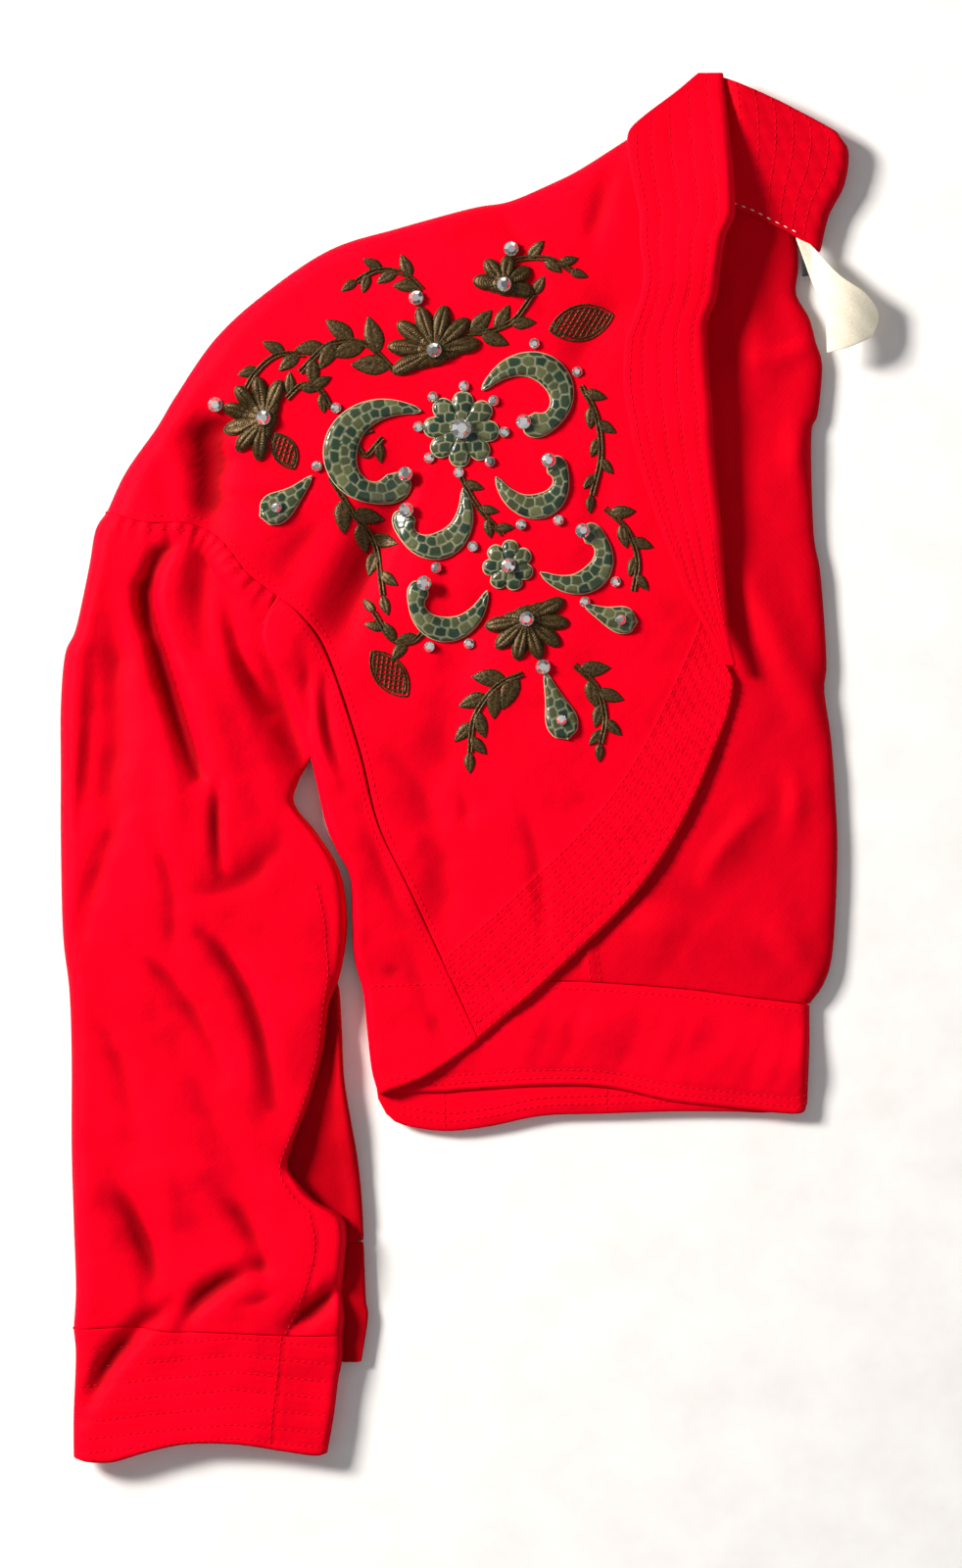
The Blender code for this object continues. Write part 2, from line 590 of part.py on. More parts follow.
FLUSH = {  # a border, and its neighbours inside
    "bottom": (0, 1),
    "top": (-1, -2),
    "left": ((slice(None), 0), (slice(None), 1)),
    "right": ((slice(None), -1), (slice(None), -2)),
}


def wall(name, outer, thickness, finish, plain=None, flush=()):
    """A cloth wall: its outer face, the same face moved in by its thickness, and its rim."""
    rows, columns = outer.shape[:2]
    base = outer if plain is None else plain
    normal = grid_normals(base)
    for place in flush:
        edge, inside = FLUSH[place]
        way = unit((base[inside] - base[edge]) * (1, 1, 0))
        normal[edge] = unit(normal[edge] - (normal[edge] * way).sum(axis=-1, keepdims=True) * way)
    inner = base - thickness * normal
    count = rows * columns
    verts = np.vstack([outer.reshape(-1, 3), inner.reshape(-1, 3)])
    faces = cells(rows, columns) + [f[::-1] for f in cells(rows, columns, count)]
    edge = border(rows, columns)
    for a, b in zip(edge, edge[1:] + edge[:1]):
        faces.append((b, a, a + count, b + count))
    return new_piece(name, verts, faces, finish)


def pile(name, sides, height, finish, rim):
    """Hidden layers as one rounded solid, with a flat underside and layered edges."""
    rows, columns = GRIDS[name]
    v, u = np.meshgrid(np.linspace(0, 1, rows), np.linspace(0, 1, columns), indexing="ij")
    xy = four_sides(*sides, u, v)
    z = height(xy[..., 0], xy[..., 1])
    verts = list(np.concatenate([xy, z[..., None]], axis=-1).reshape(-1, 3))
    edge = border(rows, columns)
    line = np.array([verts[k][:2] for k in edge])
    tangent = np.roll(line, -1, axis=0) - np.roll(line, 1, axis=0)
    tangent /= np.linalg.norm(tangent, axis=1, keepdims=True)
    outward = np.stack([tangent[:, 1], -tangent[:, 0]], axis=1)
    faces = cells(rows, columns)
    ring = edge
    for out, level in rim:
        start = len(verts)
        verts += [(*(p + out * n), level) for p, n in zip(line, outward)]
        following = list(range(start, start + len(edge)))
        for k in range(len(edge)):
            n = (k + 1) % len(edge)
            faces.append((ring[n], ring[k], following[k], following[n]))
        ring = following
    faces.append(tuple(ring[::-1]))
    return new_piece(name, verts, faces, finish)


def make_body_layers():
    """The covered back, the far back and the far front, folded under the upper half."""
    sides = (BODY_PILE_LEFT, BODY_PILE_RIGHT, FAR_HEM, BODY_PILE_TOP)
    return pile("far_half_body", sides, body_pile_height, RED, RIM)


def sleeve_and_cuff_pile(x, y):
    """The sleeve's pile runs on under the cuff at the cuff's own height."""
    under = lowest_near(sleeve_top, x, y, CUFF_REACH) - CUFF_CLOTH - LAYER_GAP
    share = mound(x, y, CUFF_OUTLINE, MOUND_START)
    cuff = PILE_TOP + (np.maximum(under, PILE_TOP) - PILE_TOP) * share
    return np.where(y < SLEEVE_LEFT[0][1], cuff, sleeve_pile_height(x, y))


def make_sleeve_layers():
    """The under side of the near sleeve and both sides of the far one."""
    sides = (SLEEVE_PILE_LEFT, SLEEVE_PILE_RIGHT, SLEEVE_PILE_BOTTOM, SLEEVE_PILE_TOP)
    return pile("sleeve_layers", sides, sleeve_and_cuff_pile, RED, RIM)


def make_far_sleeve():
    """What shows of the far sleeve beside the near one, with the ridge that runs down it."""
    bottom = (FAR_SLEEVE_LEFT[0], FAR_SLEEVE_RIGHT[0])
    top = (FAR_SLEEVE_LEFT[-1], FAR_SLEEVE_RIGHT[-1])

    def height(x, y):
        return FAR_TOP + fold_height(x, y, FAR_RIDGE)

    sides = (FAR_SLEEVE_LEFT, FAR_SLEEVE_RIGHT, bottom, top)
    return pile("far_sleeve", sides, height, RED, FAR_RIM)


def make_far_cuff():
    bottom = (FAR_CUFF_LEFT[0], FAR_CUFF_RIGHT[0])
    top = (FAR_CUFF_LEFT[-1], FAR_CUFF_RIGHT[-1])
    sides = (FAR_CUFF_LEFT, FAR_CUFF_RIGHT, bottom, top)
    return pile("far_cuff", sides, level(FAR_TOP), RED, FAR_RIM)


def level(z):
    return lambda x, y: np.full(np.shape(x), float(z))


def make_back():
    sides = (BACK_LEFT, BACK_FOLD, HEM_SEAM, BACK_TOP_EDGE)
    face = draped("back_inside", sides, back_height, right=(BACK_ROLL, falls_to(BACK_FOOT)))
    return wall("back_inside", face, BACK_CLOTH, DEEP_RED, flush=("bottom",))


def falls_to(low):
    """How far a rolled edge comes down to reach a height."""
    return lambda x, y, z: z - low


def make_hem():
    seam = tuple((x, y - SEAM_GAP) for x, y in HEM_SEAM)
    left = (HEM_LOWER[0], (147, 190), seam[0])
    right = HEM_RIGHT[:-1] + seam[-1:]
    sides = (left, right, HEM_LOWER, seam)
    face = draped("hem_band", sides, level(HEM_TOP), right=(HEM_ROLL, falls_to(HEM_FOOT)))
    return wall("hem_band", face, HEM_CLOTH, RED, flush=("top",))


def make_front():
    """Columns run from the front edge up to the shoulder: quilted rows, plain cloth, the roll."""
    rows, plain_columns = GRIDS["front_panel"]
    v = np.linspace(0, 1, rows)
    widths = np.linalg.norm(along(SHOULDER, v) - along(FRONT_EDGE, v), axis=1)
    quilted = QUILT_PITCH * (QUILT_START + 0.5 * np.arange(2 * QUILT_ROWS))
    across_rows = []
    for width in widths:
        plain = np.linspace(quilted[-1] + QUILT_PITCH, width - SHOULDER_ROLL, plain_columns)
        roll = [width - SHOULDER_ROLL * d for d, _ in ROLL[::-1]]
        across_rows.append(np.concatenate([[0.0], quilted, plain, roll]) / width)
    u = np.array(across_rows)
    xy = four_sides(FRONT_EDGE, SHOULDER, FRONT_SEAM, UNDER_COLLAR, u, np.tile(v[:, None], u.shape[1]))
    xy[0] = sewn(xy[0], FRONT_SEAM, 1)
    z = body_top(xy[..., 0], xy[..., 1])
    for k, (_, rise) in enumerate(ROLL[::-1]):
        column = u.shape[1] - len(ROLL) + k
        z[:, column] -= (1 - rise) * (z[:, column] - SHOULDER_FOOT)
    z[:, 0] -= EDGE_TURN
    plain = np.concatenate([xy, z[..., None]], axis=-1)
    face = plain.copy()
    face[:, 1:1 + 2 * QUILT_ROWS:2, 2] -= QUILT_SINK
    face[:, 2:2 + 2 * QUILT_ROWS:2, 2] += QUILT_RISE
    return wall("front_panel", face, FRONT_CLOTH, RED, plain=plain, flush=("bottom",))


def in_from_seam(face, row):
    """Moves a grid's first or last row in by half of the seam gap."""
    face = face.copy()
    step = face[1] - face[0] if row == 0 else face[-2] - face[-1]
    length = np.maximum(np.linalg.norm(step[:, :2], axis=1, keepdims=True), 1e-6)
    face[row, :, :2] += step[:, :2] / length * SEAM_GAP / 2
    return face


def falls_by(table):
    """How far a rolled edge comes down, from a table of y and drop."""
    places, drops = zip(*table)
    return lambda x, y, z: np.interp(y, places, drops)


def make_side():
    seam = FRONT_SEAM[:SIDE_CORNERS] + SIDE_TOP[-1:]
    face = draped(
        "side_panel", (SIDE_FOLD, seam, SIDE_HEM, SIDE_TOP), body_top,
        left=(SIDE_ROLL, falls_by(SIDE_DROPS)), seam=((slice(None), -1), seam, -1),
    )
    return wall("side_panel", face, FRONT_CLOTH, RED, flush=("right",))


def make_sleeve():
    face = draped(
        "sleeve", (SLEEVE_LEFT, SLEEVE_RIGHT, CUFF_TOP, SLEEVE_HEAD), sleeve_top,
        left=(SLEEVE_ROLL, falls_to(SLEEVE_FOOT)), right=(SIDE_ROLL, falls_by(SLEEVE_DROPS)),
        seam=(-1, SLEEVE_HEAD, 1),
    )
    face = in_from_seam(face, 0)
    return wall("sleeve", face, SLEEVE_CLOTH, RED, flush=("bottom", "top"))


def make_cuff():
    face = draped(
        "cuff", (CUFF_LEFT, CUFF_RIGHT, CUFF_BOTTOM, CUFF_TOP), sleeve_top,
        left=(SLEEVE_ROLL, falls_to(CUFF_FOOT)), right=(SIDE_ROLL, falls_to(SLEEVE_FOOT)),
    )
    face = in_from_seam(face, -1)
    return wall("cuff", face, CUFF_CLOTH, RED, flush=("top",))


def collar_section(start, end):
    """The band between its outer edge and its roll, at one place: both ends, their heights."""
    heights, outer, roll = zip(*COLLAR_HEIGHTS)
    return end[0] - start[0], np.interp(start[1], heights, outer), np.interp(end[1], heights, roll)


def make_collar_front():
    """Channels run along the band; its right edge rolls over and down towards the back."""
    count = GRIDS["collar_front"][1]
    v = np.linspace(0, 1, GRIDS["collar_front"][0])
    more, full = COLLAR_THINS
    rows, plain, cloth = [], [], []
    for start, end in zip(along(COLLAR_OUTER, v), along(ROLL_LINE, v)):
        width, edge, crest = collar_section(start, end)
        cloth.append(COLLAR_CLOTH * min(1, (width + more) / full))
        radius = min(COLLAR_ROLL, COLLAR_ROLL_SHARE * width)
        deep = np.clip((end[1] - COLLAR_TIP) / COLLAR_DEEPENS, COLLAR_SHALLOW, 1)
        fall = deep * (crest - COLLAR_FOOT)
        shares = np.linspace(0, 1 - radius / width, count)
        heights = edge + (crest - edge) * shares**COLLAR_BELLY
        ridge = np.where(np.arange(count) % 2, CHANNEL_RISE, 0.0) * min(1, width / RIDGE_WIDTH)
        flat = [(*(start + (end - start) * s), h) for s, h in zip(shares, heights)]
        over = [(end[0] - d * radius, end[1], crest - f * fall) for d, f in COLLAR_TURN]
        plain.append(flat + over)
        rows.append([(x, y, h + r) for (x, y, h), r in zip(flat, ridge)] + over)
    cloth = np.array(cloth)[:, None, None]
    return wall("collar_front", np.array(rows), cloth, RED, plain=np.array(plain))


def make_collar_stand():
    """Hidden layers between the turned collar and the back, as one ribbon."""
    stations, size = GRIDS["collar_stand"]
    v = np.linspace(*STAND_SHARES, stations)
    outer, roll, hidden = along(COLLAR_OUTER, v), along(ROLL_LINE, v), along(UNDER_COLLAR, v)
    verts, faces = [], []
    for start, end, (front, _) in zip(outer, roll, hidden):
        width, edge, crest = collar_section(start, end)
        right = end[0] - STAND_INSET
        left = min(max(front + STAND_FROM_FRONT, start[0] + STAND_FROM_EDGE), right - STAND_LEAST)
        y = (start[1] + end[1]) / 2
        share = (left - start[0]) / width
        low = edge + (crest - edge) * share**COLLAR_BELLY - COLLAR_CLOTH - STAND_CLEARANCE[0]
        high = crest - COLLAR_CLOTH - STAND_CLEARANCE[1]
        verts += [
            (left, y, STAND_FLOOR), (right, y, STAND_FLOOR), (right, y, high),
            ((left + right) / 2, y, (low + high) / 2), (left, y, low),
        ]
    for start in range(0, len(verts) - size, size):
        for k in range(size):
            n = (k + 1) % size
            faces.append((start + k, start + n, start + size + n, start + size + k))
    faces.append(tuple(range(size))[::-1])
    faces.append(tuple(range(len(verts) - size, len(verts))))
    return new_piece("collar_stand", verts, faces, RED)


def make_collar_back():
    """The inside of the band round the neck, with its rows of stitching."""
    def height(x, y):
        away, inward = BAND_SLOPES
        lift = np.clip(away * (y - BAND_LOW[1]) + inward * (BAND_LOW[0] - x), 0, BAND_MOST)
        rows = BAND_ROW_RISE * np.cos((x + BAND_ROW_LEAN * y) * math.tau / BAND_ROW_PITCH)
        return BACK_TOP + BAND_BASE + lift + rows

    sides = (BAND_LEFT, BAND_RIGHT, BAND_NECK, BAND_TOP)
    face = draped("collar_back", sides, height, right=(BAND_ROLL, falls_by(BAND_DROPS)))
    return wall("collar_back", face, BAND_CLOTH, DEEP_RED)


def make_care_label():
    """A blank satin tag that curls up from the neck seam."""
    def height(x, y):
        curl = np.sin(np.clip((x - TAG_CURL_START) / TAG_CURL_WIDTH, 0, 1) * math.pi)
        return BACK_TOP + TAG_BASE + TAG_CURL_RISE * curl

    face = draped("care_label", (TAG_LEFT, TAG_RIGHT, TAG_BOTTOM, TAG_TOP), height)
    return wall("care_label", face, LABEL_CLOTH, CREAM)


def make_neck_label():
    """A small plain tab in the neck seam, under the tag."""
    face = draped("neck_label", (TAB_LEFT, TAB_RIGHT, TAB_BOTTOM, TAB_TOP), level(BACK_TOP + TAB_BASE))
    return wall("neck_label", face, LABEL_CLOTH, BLACK)


def on_motif_axis(down, out):
    """A place on the front from its distances down the design's axis and out to the right."""
    lean = math.radians(MOTIF_LEAN)
    x = MOTIF_MIDDLE[0] + down * math.sin(lean) + out * math.cos(lean)
    y = MOTIF_MIDDLE[1] - down * math.cos(lean) + out * math.sin(lean)
    return np.stack([x, y], axis=-1)


def widths_along(kind, shares):
    places, widths = zip(*MOTIF_WIDTHS[kind])
    return np.interp(shares, places, widths)


def ribbon_motif(row, count):
    """Rings of a raised ribbon whose heading turns faster towards its end."""
    _, kind, down, out, heading, length, turn, half_width = row
    share = np.linspace(0, 1, count)
    angle = np.radians(heading + turn * share**1.4)
    step = length / (count - 1)
    downs = down + step * np.concatenate([[0], np.cumsum(np.cos(angle[:-1]))])
    outs = out + step * np.concatenate([[0], np.cumsum(np.sin(angle[:-1]))])
    half = half_width * widths_along(kind, share)
    rings = []
    for across, rise in MOTIF_SECTION:
        places = on_motif_axis(downs - across * half * np.sin(angle), outs + across * half * np.cos(angle))
        rings.append([(*place, rise) for place in places])
    return np.array(rings).transpose(1, 0, 2)


def lobed_motif(row):
    """Rings of a raised flower or fan: outline, ring and middle, first below and then above."""
    _, kind, down, out, heading, radius, lobes, _ = row
    lobe = LOBE[kind]
    angles, reach = [], []
    for k in range(lobes * len(lobe) + (kind == "palmette")):
        angles.append(heading + FAN_SPREAD[kind] * (k / (lobes * len(lobe)) - 0.5))
        reach.append(lobe[k % len(lobe)])
    if kind == "palmette":
        angles += [heading + 140, heading + 180, heading + 220]
        reach += [0.34, 0.3, 0.34]
    angles = np.radians(angles)
    reach = radius * np.array(reach)
    rings = []
    for share, rise in LOBED_SECTION:
        places = on_motif_axis(down + share * reach * np.cos(angles), out + share * reach * np.sin(angles))
        rings.append([(*place, rise) for place in places])
    return np.array(rings)


def laid_on(tree, point):
    """A point of a motif, moved to its height above the front."""
    x, y, rise = point
    hit = tree.ray_cast(Vector((x, y, 100)), Vector((0, 0, -1)))[0]
    return (x, y, hit.z + MOTIF_GAP + rise)


def make_motif(row, tree):
    name, kind = row[:2]
    finish = BRONZE if kind == "palmette" else GREEN
    rings = ribbon_motif(row, MOTIF_STATIONS[kind]) if kind in MOTIF_STATIONS else lobed_motif(row)
    count = rings.shape[1]
    verts = [laid_on(tree, p) for ring in rings for p in ring]
    faces = []
    for start in range(0, len(verts) - count, count):
        for k in range(count):
            n = (k + 1) % count
            faces.append((start + k, start + n, start + count + n, start + count + k))
    if kind in MOTIF_STATIONS:
        faces += [tuple(range(count)), tuple(range(len(verts) - 1, len(verts) - count - 1, -1))]
    else:
        middle = on_motif_axis(*row[2:4])
        for start, rise, turned in ((0, 0.0, 1), (len(verts) - count, MOTIF_RISE, -1)):
            verts.append(laid_on(tree, (*middle, rise)))
            for k in range(count):
                faces.append((start + (k + 1) % count, start + k, len(verts) - 1)[::turned])
    return new_piece("applique_" + name, verts, faces, finish)


def make_applique(front):
    """The leather and thread motifs sewn on the front, each laid on the front's own faces."""
    faces = [tuple(f.vertices) for f in front.data.polygons]
    tree = BVHTree.FromPolygons([v.co / MM for v in front.data.vertices], faces)
    return [make_motif(row, tree) for row in MOTIFS]


def main():
    for old in list(bpy.data.objects):
        bpy.data.objects.remove(old, do_unlink=True)
    front = make_front()
    pieces = [
        make_body_layers(), make_sleeve_layers(), make_far_sleeve(), make_far_cuff(), make_back(),
        make_hem(), front, make_side(), make_sleeve(), make_cuff(), make_collar_front(),
        make_collar_stand(), make_collar_back(), make_care_label(), make_neck_label(),
    ]
    pieces += make_applique(front)
    garment = bpy.data.objects.new("garment", None)
    bpy.context.collection.objects.link(garment)
    corners = np.array([v.co for piece in pieces for v in piece.data.vertices])
    middle = (corners.min(axis=0) + corners.max(axis=0)) / 2
    garment.location = (-middle[0], -middle[1], 0)
    for piece in pieces:
        piece.parent = garment


main()
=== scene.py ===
import json
import math

import bpy
import numpy as np
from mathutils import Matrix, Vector
from mathutils.bvhtree import BVHTree


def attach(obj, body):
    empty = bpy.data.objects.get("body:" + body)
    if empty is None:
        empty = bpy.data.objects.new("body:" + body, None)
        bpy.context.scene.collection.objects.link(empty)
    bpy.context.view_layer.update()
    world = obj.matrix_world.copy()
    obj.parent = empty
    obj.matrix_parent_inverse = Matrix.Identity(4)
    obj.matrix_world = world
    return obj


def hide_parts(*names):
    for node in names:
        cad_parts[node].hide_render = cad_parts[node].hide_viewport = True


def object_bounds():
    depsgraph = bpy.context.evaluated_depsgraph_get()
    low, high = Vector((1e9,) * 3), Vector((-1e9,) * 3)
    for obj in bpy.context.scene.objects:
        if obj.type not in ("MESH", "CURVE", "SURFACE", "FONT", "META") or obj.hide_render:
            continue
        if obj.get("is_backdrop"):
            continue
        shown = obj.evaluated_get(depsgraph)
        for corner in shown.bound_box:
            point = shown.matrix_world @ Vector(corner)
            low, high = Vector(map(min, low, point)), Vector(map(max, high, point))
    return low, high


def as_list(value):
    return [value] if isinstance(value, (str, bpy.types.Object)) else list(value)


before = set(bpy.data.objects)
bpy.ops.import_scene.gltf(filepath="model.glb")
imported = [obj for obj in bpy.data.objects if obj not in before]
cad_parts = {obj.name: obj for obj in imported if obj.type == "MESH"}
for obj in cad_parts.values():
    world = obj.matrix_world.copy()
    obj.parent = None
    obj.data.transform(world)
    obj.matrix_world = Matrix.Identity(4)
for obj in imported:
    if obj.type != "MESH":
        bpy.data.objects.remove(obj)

cadBox = [list(corner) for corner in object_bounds()]

# Everything is set out in millimetres from the lower left corner of the laid jacket,
# with z up from the surface it lies on, and moved to the frame's origin at the end
jacket = dict(
    middle=(187.6972, 318.6487, 0),  # the frame's origin, in those millimetres
    cloth=1.4,                       # a sateen panel with its lining
    doubled=1.8,                     # the cuff and the hem band, folded over
    seamGap=0.3,
    pileTop=6.0,                     # top of the folded layers underneath
    backTop=8.1,
)


def placed(points):
    return (np.asarray(points, float) - jacket["middle"]) * 0.001


# Lines and sheets


def smoothLine(points, steps=14):
    given = np.array(points, float)
    if len(given) > 60:
        return given  # already a finished line
    padded = np.vstack([2 * given[0] - given[1], given, 2 * given[-1] - given[-2]])
    t = np.linspace(0, 1, steps, endpoint=False)[:, None]
    parts = []
    for a, b, c, d in zip(padded, padded[1:], padded[2:], padded[3:]):
        bend = 2 * a - 5 * b + 4 * c - d
        parts.append(0.5 * (2 * b + (c - a) * t + bend * t**2 + (3 * b - a - 3 * c + d) * t**3))
    return np.vstack(parts + [given[-1:]])


def lineLength(points):
    return np.linalg.norm(np.diff(points, axis=0), axis=1).sum()


def runAlong(points):
    # How far along a line each of its points lies
    return np.concatenate([[0], np.cumsum(np.linalg.norm(np.diff(points, axis=0), axis=1))])


def unit(ways):
    return ways / np.maximum(np.linalg.norm(ways, axis=-1, keepdims=True), 1e-9)


def leftOf(ways):
    return np.stack([-ways[..., 1], ways[..., 0]], axis=-1)


def eased(share):
    return share * share * (3 - 2 * share)


def nearestTo(line, x, y):
    # The distance to the nearest point of a line, and that point's number
    near, index = np.full(np.shape(x), 1e9), np.zeros(np.shape(x), int)
    for k, (px, py) in enumerate(line):
        gap = np.hypot(x - px, y - py)
        index = np.where(gap < near, k, index)
        near = np.minimum(near, gap)
    return near, index


def along(points, share):
    line = smoothLine(points)
    chord = line[-1] - line[0]
    way = np.maximum.accumulate((line - line[0]) @ chord / (chord @ chord))
    return np.stack([np.interp(share, way, line[:, k]) for k in (0, 1)], axis=-1)


def fourSides(left, right, bottom, top, u, v):
    a, b, c, d = along(left, v), along(right, v), along(bottom, u), along(top, u)
    ends = [smoothLine(side)[k] for side, k in ((left, 0), (right, 0), (left, -1), (right, -1))]
    u, v = u[..., None], v[..., None]
    flat = (1 - u) * ((1 - v) * ends[0] + v * ends[2]) + u * ((1 - v) * ends[1] + v * ends[3])
    return (1 - u) * a + u * b + (1 - v) * c + v * d - flat


def lengths(start, end, share):
    return np.linalg.norm(along(end, share) - along(start, share), axis=-1)


def insideDistance(x, y, outline):
    ends = np.roll(outline, -1, axis=0)
    inside = np.zeros(np.shape(x), bool)
    nearest = np.full(np.shape(x), 1e9)
    for (x0, y0), (x1, y1) in zip(outline, ends):
        if y0 != y1:
            inside ^= ((y0 > y) != (y1 > y)) & (x < (x1 - x0) * (y - y0) / (y1 - y0) + x0)
        run = max((x1 - x0) ** 2 + (y1 - y0) ** 2, 1e-9)
        t = np.clip(((x - x0) * (x1 - x0) + (y - y0) * (y1 - y0)) / run, 0, 1)
        nearest = np.minimum(nearest, np.hypot(x - x0 - t * (x1 - x0), y - y0 - t * (y1 - y0)))
    return np.where(inside, nearest, 0.0)


def closedOutline(*sides):
    return np.vstack([smoothLine(side, 3)[:-1] for side in sides])


# The outlines of the pieces, x and y
shape = dict(
    shoulder=(
        (21, 436), (30, 455), (44, 475), (53, 490), (71, 516), (94, 537), (124, 557), (156, 567),
        (189, 576), (206, 579), (225, 587), (239, 594), (261, 608),
    ),
    frontSeam=(
        (192, 194), (162, 260), (147, 292), (138, 328), (124, 370), (112, 388), (99, 398),
        (86, 408), (72, 425), (57, 431), (40, 431), (21, 436),
    ),
    frontEdge=(
        (192, 194), (199, 200), (218, 216), (234, 231), (257, 253), (274, 274), (289, 300),
        (304, 336), (308, 349), (309, 358),
    ),
    underCollar=(
        (309, 358), (303, 372), (294, 400), (284, 432), (275, 465), (272, 495), (276, 525),
        (279, 550), (275, 578), (270, 595), (261, 608),
    ),
    sideFold=(
        (146, 169), (143, 180), (141, 197), (139, 216), (135, 231), (134, 249), (133, 269),
        (127, 281), (122, 293), (118, 311), (112, 336), (107, 350), (100, 362), (95, 371),
        (93, 380), (94.5, 386),
    ),
    sideHem=((146, 169), (167, 177), (187, 190), (192, 194)),
    sideTop=((94.5, 386), (98, 391), (102, 395.7)),
    sleeveLeft=(
        (6, 61), (7, 80), (6, 110), (5, 145), (5, 185), (4, 216), (1, 243), (0, 287), (0, 317),
        (0, 347), (2, 371), (7, 383), (13, 411), (16, 428), (21, 436),
    ),
    sleeveRight=(
        (129, 58), (130, 66), (129, 77), (130, 90), (131, 103), (129, 112), (118, 119),
        (110, 127), (104, 136), (107, 148), (114, 166), (120, 188), (123, 210), (128, 224),
        (131, 243), (130, 262), (126, 275), (117, 289), (107, 302), (109, 313), (115, 326),
        (112, 342), (106, 356), (100, 368), (97, 380), (95.5, 387), (96.5, 393), (99, 398),
    ),
    cuffTop=((6, 61), (32, 62), (50, 60), (63, 60), (85, 59), (106, 58), (129, 58)),
    cuffBottom=(
        (6, 2), (13, 0.4), (24, 0.4), (40, 5), (58, 8.5), (80, 8.5), (101, 5.4), (116, 3.2),
        (122, 4),
    ),
    cuffLeft=((6, 2), (6, 21), (7, 48), (6, 61)),
    cuffRight=((122, 4), (125, 21), (127, 37), (129, 48), (129, 58)),
    collarOuter=(
        (304.5, 366), (299.5, 378), (286, 402), (283, 410), (273, 436), (264, 464), (262, 475),
        (259, 492), (259, 505), (260, 516), (263, 523), (267, 536), (268, 547), (266, 559),
        (266, 572), (262, 593), (261, 608), (266, 615), (284, 629), (293, 637),
    ),
    rollLine=(
        (309.8, 366), (307, 379), (305, 405), (303, 432), (301, 452), (300, 464), (299, 484),
        (298, 495), (297, 511), (297, 523), (301, 534), (303, 549), (305, 562), (309, 571),
        (309, 585), (308, 598), (306.8, 611), (305.3, 626), (304.3, 637),
    ),
    backFold=(
        (344, 210), (351, 220), (355, 236), (357, 278), (356, 306), (354, 333), (351, 354),
        (352, 366), (351, 386), (349, 410), (346, 428), (345, 472), (348, 482), (350, 504),
        (347, 515), (344, 526), (338, 537), (339, 549), (338.5, 559), (337, 568),
    ),
    backLeft=(
        (144, 222), (141, 235), (140, 255), (139, 269), (134, 283), (129, 295), (124, 311),
        (116, 332), (108, 352), (101, 368), (98, 380), (97, 390), (90, 402), (76, 424),
        (60, 434), (34, 443),
    ),
    backTop=(
        (34, 443), (60, 485), (86, 516), (113, 536), (157, 556), (206, 568), (252, 590),
        (280, 595), (306, 581), (337, 568),
    ),
    hemSeam=((144, 222), (180, 223), (224, 221), (249, 220), (288, 217), (311, 214), (344, 210)),
    hemLower=(
        (151, 169.5), (176, 170), (187, 171), (224, 173), (252, 172), (280, 166), (306, 163),
        (338, 160), (343, 164),
    ),
    hemRight=((343, 164), (344, 190), (344, 210)),
    hemLeft=((151, 169.5), (147, 190), (144, 222)),
)
underarmPoint = (99, 398)  # where the side seam, the armhole and the sleeve meet
seamLine = smoothLine(shape["frontSeam"])
headStart = int(np.argmin(np.linalg.norm(seamLine - underarmPoint, axis=1)))
sideSeam = seamLine[:headStart - 5]  # it stops short of the meeting, which a tuck covers
sleeveHead = seamLine[headStart:][::-1]
bodyOutline = closedOutline(
    shape["sideHem"], shape["frontEdge"], shape["underCollar"], shape["shoulder"][::-1],
    sleeveHead[::-1], shape["sideFold"][::-1],
)

